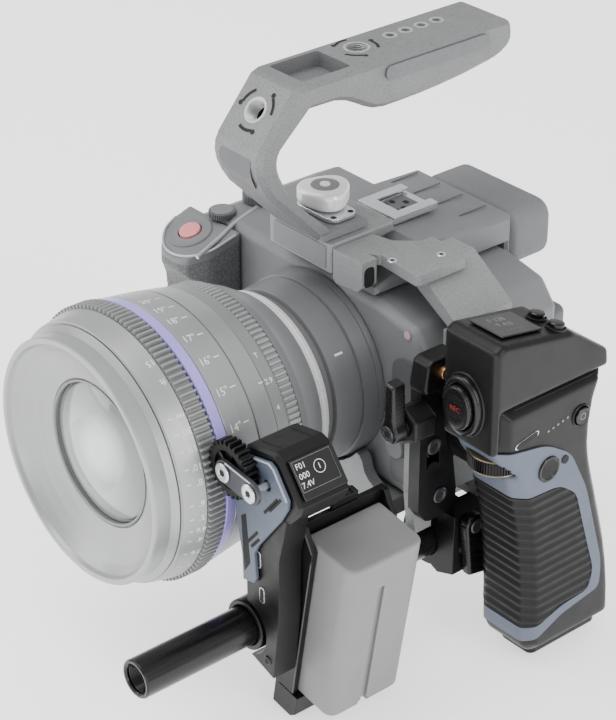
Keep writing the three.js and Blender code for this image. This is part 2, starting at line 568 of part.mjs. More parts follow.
// ---------------------------------------------------------------- handgrip
function buildGrip() {
  const inner = GRIP_INNER_X;
  const outer = GRIP_OUTER_X;
  const headSide = outline([
    [-49, 60], [-49.5, 102], [-46, 104.2], [-12, 98], [7.5, 84], [8.2, 77], [-45.6, 77], [-45.6, 60],
  ]);
  part('grip_head', M.charcoal, prism(headSide, 'x', inner, outer, { bevel: 1.4 }));
  const bodySide = new THREE.Shape();
  bodySide.moveTo(-45.2, 76.7);
  bodySide.lineTo(7.4, 76.7);
  bodySide.bezierCurveTo(-1, 52, 4, 40, 8, 26);
  bodySide.bezierCurveTo(13, 8, 20, -10, 20.6, -36);
  bodySide.lineTo(18, -39);
  bodySide.lineTo(-20, -39);
  bodySide.quadraticCurveTo(-26, -37, -26, -30);
  bodySide.bezierCurveTo(-26, 0, -31, 30, -38, 46);
  bodySide.bezierCurveTo(-41, 52, -45.2, 58, -45.2, 62);
  bodySide.closePath();
  const wheelSlot = cylinderAt(11.2, 7.4, [97, -34.5, 50], [0, 0, 1], 24);
  const powerWell = cylinderAt(3.8, 3.2, [outer, -5.4, 61.4], [1, 0, 0], 20);
  part('grip_body', M.charcoal, carve(
    [prism(bodySide, 'x', inner, outer, { bevel: 4, curveSegments: 6 })],
    [wheelSlot, powerWell],
  ));
  part('bottom_cap', M.black, prism(roundedRect(inner + 5, outer - 5, -19, 17, 3), 'z', -43, -39.3, { curveSegments: 3 }));

  const bandOuter = [
    [-36, 58], [-23, 56], [-10, 47.6], [-0.5, 29], [11, -9], [10.4, -21], [-9, -26], [-22, -30], [-22.5, -24],
    [-30, 34],
  ];
  const bandInner = [[-27, 36.5], [-14, 35.4], [-6, 28.5], [1.8, 4], [6.6, -12], [4, -19.6], [-10, -21], [-20, -24]];
  const band = outline(bandOuter);
  band.holes.push(new THREE.Path(outline(bandInner).getPoints().reverse()));
  part('grip_band', M.blueGrey, prism(band, 'x', outer + GAP, outer + 1.3));
  const insetCentre = [-8, 5];
  const rubberInset = bandInner.map(([u, v]) => [
    insetCentre[0] + (u - insetCentre[0]) * 0.96,
    insetCentre[1] + (v - insetCentre[1]) * 0.98,
  ]);
  part('grip_rubber', M.rubber, prism(outline(rubberInset), 'x', outer + GAP, outer + 1.8));

  const ringCentre = [95, 76.2];
  const ring = new THREE.Shape().absellipse(ringCentre[0], ringCentre[1], 9.4, 12, 0, Math.PI * 2);
  ring.holes.push(new THREE.Path().absellipse(ringCentre[0], ringCentre[1], 7.2, 9, 0, Math.PI * 2, true));
  part('rec_ring', M.black, prism(ring, 'y', -52.2, -49.8, { curveSegments: 14 }));
  const button = new THREE.Shape().absellipse(ringCentre[0], ringCentre[1], 6.8, 8.6, 0, Math.PI * 2);
  part('rec_button', M.black, prism(button, 'y', -54.2, -51.4, { bevel: 0.8, curveSegments: 14 }));

  const topSlope = Math.atan2(6.2, 34);
  const topNormal = [0, Math.sin(topSlope), Math.cos(topSlope)];
  const onTop = (x, y, lift) => [x, y + lift * topNormal[1], 104.2 - (y + 46) * Math.tan(topSlope) + lift * topNormal[2]];
  part('grip_display', M.screen, new THREE.BoxGeometry(16, 20, 0.9), {
    position: onTop(96.5, -32.5, 0.75),
    rotation: [-topSlope, 0, 0],
  });
  const buttonX = [95, 104.5];
  buttonX.forEach((x, i) => {
    part(`menu_button_${i + 1}`, M.black, cylinderAt(3, 1.8, onTop(x, -15.6, 1.8), topNormal, 20));
  });
  part('thumb_wheel', M.brass, cylinderAt(10.6, 6.2, [97, -34.5, 50], [0, 0, 1], 28));
  part('power_button', M.black, cylinderAt(3.4, 1.8, [outer + 0.3, -5.4, 61.4], [1, 0, 0], 20));
}

buildLens();
buildCamera();
buildCage();
buildHandle();
buildBracket();
buildMotor();
buildGrip();

export default group;
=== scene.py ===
# Looks of the cinema camera rig: camera in a half cage, cine lens, top handle,
# rod-mounted focus motor with its battery, and a side handgrip.
# Lengths in the build code are millimetres in the row frame; add_piece or metres() turns them into metres.
import json
import math

import bmesh
import bpy
from mathutils import Matrix, Vector


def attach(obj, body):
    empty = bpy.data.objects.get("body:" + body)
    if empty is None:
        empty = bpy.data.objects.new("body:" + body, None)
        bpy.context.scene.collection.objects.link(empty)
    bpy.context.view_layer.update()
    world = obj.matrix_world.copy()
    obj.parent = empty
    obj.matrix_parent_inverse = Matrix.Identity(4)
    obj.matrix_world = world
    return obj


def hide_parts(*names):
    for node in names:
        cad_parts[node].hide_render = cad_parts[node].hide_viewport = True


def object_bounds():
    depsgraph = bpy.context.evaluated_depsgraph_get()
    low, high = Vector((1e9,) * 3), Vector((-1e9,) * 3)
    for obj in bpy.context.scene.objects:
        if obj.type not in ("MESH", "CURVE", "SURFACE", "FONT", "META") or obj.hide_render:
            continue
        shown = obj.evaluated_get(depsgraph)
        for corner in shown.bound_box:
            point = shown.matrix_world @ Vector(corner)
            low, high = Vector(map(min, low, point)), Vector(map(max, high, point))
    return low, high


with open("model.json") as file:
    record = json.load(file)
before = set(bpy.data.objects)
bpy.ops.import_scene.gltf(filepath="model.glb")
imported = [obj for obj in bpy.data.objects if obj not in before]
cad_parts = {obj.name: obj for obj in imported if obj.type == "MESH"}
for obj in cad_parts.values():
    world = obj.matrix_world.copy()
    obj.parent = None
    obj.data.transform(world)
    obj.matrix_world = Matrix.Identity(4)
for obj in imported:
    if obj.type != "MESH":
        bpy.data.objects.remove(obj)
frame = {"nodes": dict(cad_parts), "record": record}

CAD_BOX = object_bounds()
MM = 0.001
NODE_BODY = {
    node: body
    for body, nodes in frame["record"]["behaviour"]["bodies"].items()
    for node in nodes
}

# ------------------------------------------------------------ driving dimensions, as in the CAD
AXIS_Z = 47.0
LENS_FRONT = -150.0
GEAR_MODULE = 0.8
FOCUS_TEETH = 132
DRIVE_TEETH = 26
GEAR_LINE = math.radians(16.3)
GEAR_DISTANCE = GEAR_MODULE * (FOCUS_TEETH + DRIVE_TEETH) / 2 + 0.3
GEAR_X = GEAR_DISTANCE * math.cos(GEAR_LINE)
GEAR_Z = AXIS_Z + GEAR_DISTANCE * math.sin(GEAR_LINE)
GEAR_BACK = LENS_FRONT + 26.4
FOCUS_GEAR_FRONT = LENS_FRONT + 19.4
LINK_END = (75.0, 63.3)
DRIVE_FRONT, DRIVE_BACK = -128.4, -123.1
LINK_FRONT = -130.3
ROD = (60.0, -4.7)
BATTERY_LEAN = math.radians(9.3)
BATTERY_TOP = Vector((77.6, -107.6, 37.4))
BATTERY_THICK, BATTERY_WIDE, BATTERY_HIGH = 25.0, 34.5, 71.0
GRIP_INNER, GRIP_OUTER = 83.0, 110.0
HANDLE_X = -3.0
HANDLE_TOP = 169.0


# ------------------------------------------------------------ camera, lights and floor
def add_camera():
    data = bpy.data.cameras.new("photo_camera")
    data.lens = 113.0
    data.sensor_width = 36.0
    data.clip_start, data.clip_end = 0.02, 20.0
    camera = bpy.data.objects.new("photo_camera", data)
    azimuth, elevation = math.radians(49.77), math.radians(30.01)
    back = Vector((
        math.sin(azimuth) * math.cos(elevation),
        -math.cos(azimuth) * math.cos(elevation),
        math.sin(elevation),
    ))
    camera.rotation_mode = "QUATERNION"
    camera.rotation_quaternion = (-back).to_track_quat("-Z", "Y")
    camera.location = (0.57629, -0.52842, 0.48501)
    bpy.context.scene.collection.objects.link(camera)
    bpy.context.scene.camera = camera


def add_light(name, place, target, size, power, tone=(1, 1, 1)):
    data = bpy.data.lights.new(name, "AREA")
    data.shape = "RECTANGLE"
    data.size, data.size_y = size
    data.energy = power
    data.color = tone
    light = bpy.data.objects.new(name, data)
    light.location = place
    light.rotation_mode = "QUATERNION"
    light.rotation_quaternion = (Vector(target) - Vector(place)).to_track_quat("-Z", "Y")
    bpy.context.scene.collection.objects.link(light)


def add_studio():
    add_light("key_above", (-0.3, -0.5, 1.5), (0, -0.05, 0.05), (1.1, 1.1), 16)
    add_light("front_left", (-1.1, -1.2, 0.5), (0, -0.1, 0.05), (0.8, 1.0), 9)
    add_light("right_strip", (1.5, 0.1, 0.7), (0.05, -0.05, 0.05), (0.4, 1.2), 10)
    add_light("low_front", (0.7, -1.3, 0.15), (0.05, -0.1, 0.0), (0.9, 0.4), 4)
    world = bpy.data.worlds.new("studio_world")
    world.use_nodes = True
    background = world.node_tree.nodes["Background"]
    background.inputs["Color"].default_value = (1.0, 1.0, 1.0, 1.0)
    background.inputs["Strength"].default_value = 0.9
    bpy.context.scene.world = world


# ------------------------------------------------------------ materials
def linear(code):
    values = [int(code[i:i + 2], 16) / 255 for i in (0, 2, 4)]
    return [v / 12.92 if v <= 0.04045 else ((v + 0.055) / 1.055) ** 2.4 for v in values]


class Nodes:
    """A new material with a Principled shader and short ways to add nodes to it."""

    def __init__(self, name):
        self.material = bpy.data.materials.new(name)
        self.material.use_nodes = True
        self.tree = self.material.node_tree
        self.shader = self.tree.nodes["Principled BSDF"]
        self.coords = self.tree.nodes.new("ShaderNodeTexCoord").outputs["Object"]

    def add(self, kind, **settings):
        node = self.tree.nodes.new(kind)
        for key, value in settings.items():
            setattr(node, key, value)
        return node

    def link(self, source, target):
        self.tree.links.new(source, target)

    def scaled(self, scale):
        node = self.add("ShaderNodeMapping")
        node.inputs["Scale"].default_value = scale
        self.link(self.coords, node.inputs["Vector"])
        return node.outputs["Vector"]

    def noise(self, scale, detail=3.0, stretch=(1, 1, 1), roughness=0.55):
        node = self.add("ShaderNodeTexNoise")
        node.inputs["Scale"].default_value = scale
        node.inputs["Detail"].default_value = detail
        node.inputs["Roughness"].default_value = roughness
        self.link(self.scaled(stretch), node.inputs["Vector"])
        return node.outputs["Fac"]

    def ramp(self, value, stops):
        node = self.add("ShaderNodeValToRGB")
        elements = node.color_ramp.elements
        while len(elements) < len(stops):
            elements.new(0.5)
        for element, (position, colour) in zip(elements, stops):
            element.position = position
            element.color = (*colour, 1.0)
        self.link(value, node.inputs["Fac"])
        return node.outputs["Color"]

    def remap(self, value, low, high, source=(0.3, 0.7)):
        node = self.add("ShaderNodeMapRange")
        node.inputs["From Min"].default_value, node.inputs["From Max"].default_value = source
        node.inputs["To Min"].default_value, node.inputs["To Max"].default_value = low, high
        self.link(value, node.inputs["Value"])
        return node.outputs["Result"]

    def multiply(self, colour, factor_colour, amount=1.0):
        node = self.add("ShaderNodeMix", data_type="RGBA", blend_type="MULTIPLY")
        node.inputs["Factor"].default_value = amount
        self.link(colour, node.inputs["A"])
        self.link(factor_colour, node.inputs["B"])
        return node.outputs["Result"]

    def bump(self, value, strength, distance, normal=None):
        node = self.add("ShaderNodeBump")
        node.inputs["Strength"].default_value = strength
        node.inputs["Distance"].default_value = distance
        self.link(value, node.inputs["Height"])
        if normal is not None:
            self.link(normal, node.inputs["Normal"])
        return node.outputs["Normal"]


def shade(colour, factor):
    return [min(1.0, c * factor) for c in colour]


def surface(
    name, code, roughness, metallic=0.0, grain=0.0, grain_size=0.6, mottle=0.05,
    specks=0.0, turned=0.0, brushed=0.0, coat=0.0, rough_spread=0.06, specular=0.5,
):
    """A moulded, blasted, turned or brushed finish. grain_size is in millimetres."""
    n = Nodes(name)
    base = linear(code)
    cloud = n.noise(55, 4)
    colour = n.ramp(cloud, [(0.3, shade(base, 1 - mottle)), (0.7, shade(base, 1 + mottle))])
    fine = n.noise(1000 / grain_size, 2)
    if specks:
        tint = n.ramp(fine, [(0.32, [1 - specks] * 3), (0.5, [0.97] * 3), (0.68, [1.0] * 3)])
        colour = n.multiply(colour, tint)
    normal = None
    if grain:
        normal = n.bump(fine, grain, 0.0002)
    rough_source = n.noise(160, 5)
    if turned:
        lines = n.noise(2600, 2, stretch=(0.004, 1, 0.004))
        normal = n.bump(lines, turned, 0.0001, normal)
        streak = n.ramp(lines, [(0.3, [0.93] * 3), (0.7, [1.0] * 3)])
        colour = n.multiply(colour, streak)
        rough_source = lines
    if brushed:
        lines = n.noise(1500, 2, stretch=(0.02, 0.02, 1))
        normal = n.bump(lines, brushed, 0.0001, normal)
        rough_source = lines
    n.link(colour, n.shader.inputs["Base Color"])
    n.link(
        n.remap(rough_source, roughness - rough_spread, roughness + rough_spread),
        n.shader.inputs["Roughness"],
    )
    n.shader.inputs["Metallic"].default_value = metallic
    n.shader.inputs["Specular IOR Level"].default_value = specular
    n.shader.inputs["Coat Weight"].default_value = coat
    n.shader.inputs["Coat Roughness"].default_value = 0.15
    if normal is not None:
        n.link(normal, n.shader.inputs["Normal"])
    return n.material


def leather(name, code):
    """Pebbled grip covering."""
    n = Nodes(name)
    base = linear(code)
    cells = n.add("ShaderNodeTexVoronoi", feature="DISTANCE_TO_EDGE")
    cells.inputs["Scale"].default_value = 620
    n.link(n.scaled((1, 1, 1)), cells.inputs["Vector"])
    height = n.remap(cells.outputs["Distance"], 0, 1, (0.0, 0.35))
    # Painted shade and light: the creases between pebbles are painted darker and the pebble tops a little
    # lighter.
    colour = n.ramp(height, [(0.0, shade(base, 0.72)), (0.5, base), (1.0, shade(base, 1.08))])
    n.link(
        n.multiply(colour, n.ramp(n.noise(60, 4), [(0.3, [0.92] * 3), (0.7, [1.0] * 3)])),
        n.shader.inputs["Base Color"],
    )
    n.link(n.remap(height, 0.75, 0.55, (0, 1)), n.shader.inputs["Roughness"])
    n.link(n.bump(height, 0.5, 0.0002), n.shader.inputs["Normal"])
    return n.material


def coated_glass(name):
    """Front element: pale, with an off-centre painted highlight, and a darker edge and soft inner rings
    painted in as reflections.
    """
    n = Nodes(name)

    def distance(x, z, reach):
        offset = n.add("ShaderNodeMapping")
        offset.inputs["Location"].default_value = (-x * MM, 0, -z * MM)
        n.link(n.coords, offset.inputs["Vector"])
        flatten = n.add("ShaderNodeVectorMath", operation="MULTIPLY")
        flatten.inputs[1].default_value = (1, 0, 1)
        n.link(offset.outputs["Vector"], flatten.inputs[0])
        length = n.add("ShaderNodeVectorMath", operation="LENGTH")
        n.link(flatten.outputs["Vector"], length.inputs[0])
        return n.remap(length.outputs["Value"], 0, 1, (0, reach * MM))

    radius = distance(0, AXIS_Z, 27.3)
    # Painted reflections: the radial ramp is lighter in the middle, has soft rings, and darkens towards the
    # edge.
    stops = [
        (0.0, linear("A3A8A6")), (0.5, linear("8F9492")), (0.55, linear("9DA2A0")), (0.8, linear("7F8382")),
        (0.95, linear("717574")), (1.0, linear("565A59")),
    ]
    # Painted highlight: a pale spot off the centre, mixed over the painted reflections.
    glow = n.ramp(distance(6, AXIS_Z + 6, 15), [(0.3, (1, 1, 1)), (0.9, (0, 0, 0))])
    lift = n.add("ShaderNodeMix", data_type="RGBA", blend_type="MIX")
    lift.inputs["B"].default_value = (*linear("DDE3DE"), 1.0)
    n.link(glow, lift.inputs["Factor"])
    n.link(n.ramp(radius, stops), lift.inputs["A"])
    colour = lift.outputs["Result"]
    tint = n.ramp(n.noise(28, 2), [(0.35, [0.93, 0.95, 0.97]), (0.65, [1.0, 1.0, 0.98])])
    n.link(n.multiply(colour, tint), n.shader.inputs["Base Color"])
    n.shader.inputs["Roughness"].default_value = 0.22
    n.shader.inputs["Coat Weight"].default_value = 1.0
    n.shader.inputs["Coat Roughness"].default_value = 0.02
    n.shader.inputs["Specular IOR Level"].default_value = 0.7
    return n.material


def glowing(name, code, strength):
    n = Nodes(name)
    colour = n.ramp(n.noise(700, 2), [(0.3, shade(linear(code), 0.9)), (0.7, linear(code))])
    n.link(colour, n.shader.inputs["Base Color"])
    n.link(colour, n.shader.inputs["Emission Color"])
    n.shader.inputs["Emission Strength"].default_value = strength
    n.shader.inputs["Roughness"].default_value = 0.4
    return n.material


def floor_material():
    n = Nodes("studio_floor")
    colour = n.ramp(n.noise(3, 2), [(0.3, (0.96, 0.96, 0.96)), (0.7, (0.98, 0.98, 0.98))])
    n.link(colour, n.shader.inputs["Base Color"])
    n.link(colour, n.shader.inputs["Emission Color"])
    n.shader.inputs["Emission Strength"].default_value = 1.1
    n.shader.inputs["Roughness"].default_value = 0.7
    return n.material


# Each finish: its material, and the material slot of the record that it stands for.
FINISH = {
    "lens": (surface("lens_metal", "A4A5A6", 0.36, 0.45, turned=0.12, grain=0.04, mottle=0.03), "lensGrey"),
    "lens_rear": (surface("lens_metal_rear", "97989A", 0.38, 0.4, turned=0.12, mottle=0.04), "lensGrey"),
    "lens_dark": (surface("lens_metal_dark", "8C8D8E", 0.42, 0.35, turned=0.1, mottle=0.04), "lensDark"),
    "gear_grey": (surface("focus_gear_metal", "949595", 0.45, 0.3, grain=0.08, mottle=0.05), "lensDark"),
    "lavender": (
        surface("lavender_paint", "A79BE8", 0.38, 0.05, grain=0.05, mottle=0.02, coat=0.2), "lavender",
    ),
    "silver": (surface("turned_silver", "F0F0F0", 0.3, 0.25, grain=0.03, mottle=0.02), "silver"),
    "bright": (surface("bright_steel", "D5D7D9", 0.25, 0.85, brushed=0.1, mottle=0.04), "silver"),
    "glass": (coated_glass("coated_glass"), "glass"),
    "camera": (
        surface("camera_plastic", "757678", 0.5, 0.0, grain=0.22, grain_size=0.35, mottle=0.04), "cameraGrey",
    ),
    "camera_dark": (
        surface("camera_plastic_dark", "5B5C5E", 0.45, 0.0, grain=0.2, grain_size=0.35), "cameraGrey",
    ),
    "adapter": (
        surface("adapter_metal", "767779", 0.42, 0.15, turned=0.08, grain=0.1, mottle=0.04), "cameraGrey",
    ),
    "leather": (leather("grip_leather", "6C6D6F"), "gripGrey"),
    "cage": (
        surface("cage_metal", "929394", 0.52, 0.35, grain=0.3, grain_size=0.7, specks=0.22, mottle=0.05),
        "cageGrey",
    ),
    "handle": (
        surface("handle_metal", "808182", 0.55, 0.3, grain=0.3, grain_size=0.7, specks=0.25, mottle=0.05),
        "handleGrey",
    ),
    # Bright metal of the threaded inserts; also used for the pale beads on the camera grip's rims, which are
    # painted highlights.
    "handle_edge": (
        surface("handle_edge_metal", "B9BABB", 0.35, 0.6, brushed=0.08, mottle=0.04), "handleGrey",
    ),
    "pad": (surface("soft_pad", "77787A", 0.8, 0.0, grain=0.4, grain_size=0.5, specks=0.2), "padGrey"),
    "pink": (surface("pink_plastic", "E88A90", 0.3, 0.0, grain=0.05, mottle=0.03, coat=0.3), "pink"),
    "pink_faint": (surface("faint_pink_mark", "BDA2A4", 0.4, 0.0, grain=0.05, mottle=0.03), "pink"),
    "black": (
        surface("black_anodised", "0C0C0D", 0.36, 0.0, grain=0.2, grain_size=0.4, mottle=0.12, specular=0.3),
        "black",
    ),
    "black_satin": (
        surface("black_satin_metal", "0A0A0B", 0.26, 0.0, brushed=0.03, mottle=0.15, specular=0.4), "black",
    ),
    "charcoal": (
        surface(
            "charcoal_plastic", "0B0B0C", 0.38, 0.0, grain=0.25, grain_size=0.4, mottle=0.1, specular=0.3,
        ),
        "charcoal",
    ),
    "gunmetal": (surface("gunmetal_link", "4A4B50", 0.36, 0.7, brushed=0.12, mottle=0.06), "gunmetal"),
    "blue_grey": (
        surface("blue_grey_plastic", "555D6C", 0.45, 0.05, grain=0.18, grain_size=0.4, mottle=0.06),
        "blueGrey",
    ),
    # Painted edge highlight: a pale blue-grey for thin beads laid along lit edges.
    "edge_highlight": (surface("painted_highlight_blue_grey", "A3A9B4", 0.3, 0.3, grain=0.1, mottle=0.05), "blueGrey"),
    "rubber": (
        surface("ribbed_rubber", "0F0F10", 0.5, 0.0, grain=0.25, grain_size=0.5, mottle=0.12, specular=0.3),
        "rubber",
    ),
    "screen": (
        surface("display_glass", "0A0A0B", 0.3, 0.0, mottle=0.15, coat=0.15, rough_spread=0.04), "screen",
    ),
    "brass": (surface("satin_brass", "B98A5E", 0.32, 0.9, turned=0.1, mottle=0.08), "brass"),
    "pale_brass": (surface("pale_brass_edge", "A2967C", 0.35, 0.8, mottle=0.06), "brass"),
    "battery": (
        surface("battery_plastic", "7B7B7C", 0.5, 0.0, grain=0.16, grain_size=0.35, mottle=0.03), "battery",
    ),
    # Painted shade: dark sheets and discs laid in socket, hole, port, slot and groove hollows; it also draws
    # the dark seam lines and the shoe contacts.
    "void": (surface("deep_shadow", "070708", 0.7, 0.0, mottle=0.3), None),
    "print": (surface("white_print", "ECECEC", 0.5, 0.0, grain=0.05, mottle=0.03), None),
    "print_grey": (surface("grey_print", "7A7C7E", 0.55, 0.0, grain=0.05, mottle=0.05), None),
    "red_print": (surface("red_print", "8E2622", 0.45, 0.0, grain=0.05, mottle=0.06), None),
    "lit": (glowing("lit_glyph", "D9DCE0", 0.25), None),
    "lens_cap_glass": (
        surface("viewfinder_glass", "1E2226", 0.08, 0.0, mottle=0.1, coat=0.8, rough_spread=0.02), "screen",
    ),
}


# ------------------------------------------------------------ mesh helpers
ALONG = {
    "x": Matrix(((0, 0, 1, 0), (1, 0, 0, 0), (0, 1, 0, 0), (0, 0, 0, 1))),
    "y": Matrix(((1, 0, 0, 0), (0, 0, 1, 0), (0, 1, 0, 0), (0, 0, 0, 1))),
    "z": Matrix.Identity(4),
}


def facing(origin, direction):
    """A frame whose local Z runs along direction from origin."""
    turn = Vector(direction).normalized().to_track_quat("Z", "Y").to_matrix().to_4x4()
    return Matrix.Translation(Vector(origin)) @ turn


LENS_FRAME = Matrix.Translation((0, 0, AXIS_Z)) @ ALONG["y"]
LEAN_FRAME = Matrix.Translation(BATTERY_TOP) @ Matrix(
    (
        (math.cos(BATTERY_LEAN), 0, math.sin(BATTERY_LEAN), 0),
        (0, 1, 0, 0),
        (-math.sin(BATTERY_LEAN), 0, math.cos(BATTERY_LEAN), 0),
        (0, 0, 0, 1),
    )
)


def add_piece(name, bm, finish, body, replaces=(), sharp=35, weighted=True, scale=MM):
    material, slot = FINISH[finish]
    if scale != 1:
        bm.transform(Matrix.Scale(scale, 4))
    bmesh.ops.recalc_face_normals(bm, faces=bm.faces)
    mesh = bpy.data.meshes.new(name)
    bm.to_mesh(mesh)
    bm.free()
    mesh.shade_smooth()
    mesh.set_sharp_from_angle(angle=math.radians(sharp))
    mesh.materials.append(material)
    obj = bpy.data.objects.new(name, mesh)
    bpy.context.scene.collection.objects.link(obj)
    if weighted:
        obj.modifiers.new("weighted", "WEIGHTED_NORMAL").keep_sharp = True
    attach(obj, body)
    if replaces:
        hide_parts(*replaces)
    return obj


def loops_to_mesh(loops, closed):
    """Quads between equal loops of points; a loop of one point closes to a tip."""
    bm = bmesh.new()
    rings = [[bm.verts.new(p) for p in loop] for loop in loops]
    pairs = list(zip(rings, rings[1:]))
    if closed:
        pairs.append((rings[-1], rings[0]))
    for a, b in pairs:
        count = max(len(a), len(b))
        for i in range(count):
            j = (i + 1) % count
            if len(a) == 1 and len(b) == 1:
                continue
            if len(a) == 1:
                bm.faces.new((a[0], b[i], b[j]))
            elif len(b) == 1:
                bm.faces.new((a[i], a[j], b[0]))
            else:
                bm.faces.new((a[i], a[j], b[j], b[i]))
    return bm


def lathe(profile, place, segments=64, closed=True):
    """Turned form; profile points are (along, radius) in place's frame."""
    loops = []
    for along, radius in profile:
        if radius <= 0:
            loops.append([place @ Vector((0, 0, along))])
            continue
        loops.append([
            place @ Vector((
                radius * math.cos(2 * math.pi * i / segments),
                radius * math.sin(2 * math.pi * i / segments),
                along,
            ))
            for i in range(segments)
        ])
    return loops_to_mesh(loops, closed)


def gear_mesh(teeth, root, tip, bore, lo, hi, place, first=0.0, chamfer=0.4, shares=(0.32, 0.13)):
    step = 2 * math.pi / teeth
    wide, narrow = shares

    def loop(along, top):
        points = []
        for i in range(teeth):
            for radius, share in ((root, -wide), (top, -narrow), (top, narrow), (root, wide)):
                angle = first + step * (i + share)
                points.append(place @ Vector((radius * math.cos(angle), radius * math.sin(angle), along)))
        return points

    def bore_loop(along):
        points = []
        for i in range(teeth):
            for share in (-wide, -narrow, narrow, wide):
                angle = first + step * (i + share)
                points.append(place @ Vector((bore * math.cos(angle), bore * math.sin(angle), along)))
        return points

    return loops_to_mesh([
        bore_loop(lo), loop(lo, tip - chamfer), loop(lo + chamfer, tip), loop(hi - chamfer, tip),
        loop(hi, tip - chamfer), bore_loop(hi),
    ], closed=True)


def soften_edges(bm, width, segments=2, angle=28):
    edges = [
        e for e in bm.edges
        if len(e.link_faces) == 2 and e.calc_face_angle(0) > math.radians(angle)
    ]
    bmesh.ops.bevel(
        bm, geom=edges, offset=width, offset_type="OFFSET", segments=segments, profile=0.5,
        affect="EDGES", clamp_overlap=True,
    )
    return bm


def prism(points, lo, hi, place, bevel=0.4, segments=2):
    bm = bmesh.new()
    low = [bm.verts.new(place @ Vector((u, v, lo))) for u, v in points]
    high = [bm.verts.new(place @ Vector((u, v, hi))) for u, v in points]
    bm.faces.new(low)
    bm.faces.new(high)
    for i in range(len(points)):
        j = (i + 1) % len(points)
        bm.faces.new((low[i], low[j], high[j], high[i]))
    bmesh.ops.recalc_face_normals(bm, faces=bm.faces)
    if bevel:
        soften_edges(bm, bevel, segments)
    return bm


def rounded(points, radius, steps=5):
    """Rounds an outline's corners; radius may be one value or one per corner."""
    result = []
    count = len(points)
    for i, point in enumerate(points):
        corner = Vector(point)
        before, after = Vector(points[i - 1]), Vector(points[(i + 1) % count])
        reach = radius[i] if isinstance(radius, (list, tuple)) else radius
        reach = min(reach, (before - corner).length * 0.48, (after - corner).length * 0.48)
        if reach < 1e-4:
            result.append(corner)
            continue
        start = corner + (before - corner).normalized() * reach
        end = corner + (after - corner).normalized() * reach
        for k in range(steps + 1):
            t = k / steps
            result.append((1 - t) ** 2 * start + 2 * t * (1 - t) * corner + t ** 2 * end)
    return [(p.x, p.y) for p in result]


def box_outline(u0, u1, v0, v1, radius=0.0, steps=4):
    corners = [(u0, v0), (u1, v0), (u1, v1), (u0, v1)]
    return rounded(corners, radius, steps) if radius else corners


def node_mesh(node):
    """The CAD node's mesh in metres, with its flat faces made whole again."""
    source = frame["nodes"][node]
    bm = bmesh.new()
    bm.from_mesh(source.data)
    bm.transform(source.matrix_world)
    bmesh.ops.remove_doubles(bm, verts=bm.verts, dist=3e-6)
    bmesh.ops.dissolve_limit(bm, angle_limit=math.radians(0.8), verts=bm.verts, edges=bm.edges)
    return bm


def crisp(node, finish, width=0.4, segments=3, angle=28, name=None):
    """The CAD node with its edges rounded the way machined or moulded ones are."""
    bm = soften_edges(node_mesh(node), width * MM, segments, angle)
    return add_piece(name or f"{node}_body", bm, finish, NODE_BODY[node], [node], sharp=40, scale=1)


def evaluated(bm, build_modifiers):
    """The mesh after modifiers that build_modifiers adds to it."""
    mesh = bpy.data.meshes.new("work")
    bm.to_mesh(mesh)
    bm.free()
    obj = bpy.data.objects.new("work", mesh)
    bpy.context.scene.collection.objects.link(obj)
    build_modifiers(obj)
    graph = bpy.context.evaluated_depsgraph_get()
    graph.update()
    result = bmesh.new()
    result.from_mesh(obj.evaluated_get(graph).data)
    bpy.data.objects.remove(obj)
    bpy.data.meshes.remove(mesh)
    return result


def remeshed(bm, voxel, passes, inflate=0.0):
    """One smooth skin over the mesh, as moulded rubber or plastic has."""

    def build(obj):
        remesh = obj.modifiers.new("remesh", "REMESH")
        remesh.mode = "VOXEL"
        remesh.voxel_size = voxel * MM
        smooth = obj.modifiers.new("smooth", "SMOOTH")
        smooth.factor = 0.5
        smooth.iterations = passes
        if inflate:
            push = obj.modifiers.new("push", "DISPLACE")
            push.mid_level = 0.0
            push.strength = inflate * MM

    return evaluated(bm, build)


def combined(base, other, operation):
    """Boolean of two meshes in metres; both are used up."""
    mesh = bpy.data.meshes.new("cutter")
    other.to_mesh(mesh)
    other.free()
    cutter = bpy.data.objects.new("cutter", mesh)
    bpy.context.scene.collection.objects.link(cutter)

    def build(obj):
        modifier = obj.modifiers.new("combine", "BOOLEAN")
        modifier.operation = operation
        modifier.solver = "EXACT"
        modifier.object = cutter

    result = evaluated(base, build)
    bpy.data.objects.remove(cutter)
    bpy.data.meshes.remove(mesh)
    return result


def metres(bm):
    bm.transform(Matrix.Scale(MM, 4))
    bmesh.ops.recalc_face_normals(bm, faces=bm.faces)
    return bm


def tube(points, radius, sides=10):
    """A round bead along a line of points."""
    line = [Vector(p) for p in points]
    loops = []
    for i, point in enumerate(line):
        ahead = line[min(i + 1, len(line) - 1)] - line[max(i - 1, 0)]
        place = facing(point, ahead)
        angles = [2 * math.pi * k / sides for k in range(sides)]
        loops.append([place @ Vector((radius * math.cos(a), radius * math.sin(a), 0)) for a in angles])
    loops = [[line[0]]] + loops + [[line[-1]]]
    return loops_to_mesh(loops, closed=False)


def screw_head(origin, direction, radius=2.6, height=1.4, socket=1.4, sides=6):
    """A cap screw's head with a chamfer and a socket, standing on origin along direction."""
    place = facing(origin, direction)
    head = lathe([
        (0, 0), (0, radius), (height - 0.35, radius), (height, radius - 0.35),
        (height, socket * 1.3), (height - 0.2, socket * 1.12), (height - 0.2, 0),
    ], place, 32, closed=False)
    hexagon = [
        (
            socket * math.cos(math.pi * 2 * k / sides), socket * math.sin(math.pi * 2 * k / sides),
        ) for k in range(sides)
    ]
    recess = prism(hexagon, height - 0.21, height - 0.17, place, bevel=0)
    return head, recess


def add_screw(
    name, origin, direction, body, finish="black_satin", radius=2.6, height=1.4, socket=1.4, sides=6,
):
    head, recess = screw_head(origin, direction, radius, height, socket, sides)
    add_piece(f"{name}_head", head, finish, body)
    # The socket is a thin dark hexagon on the head's floor: painted shade for its depth.
    add_piece(f"{name}_socket", recess, "void", body, weighted=False)


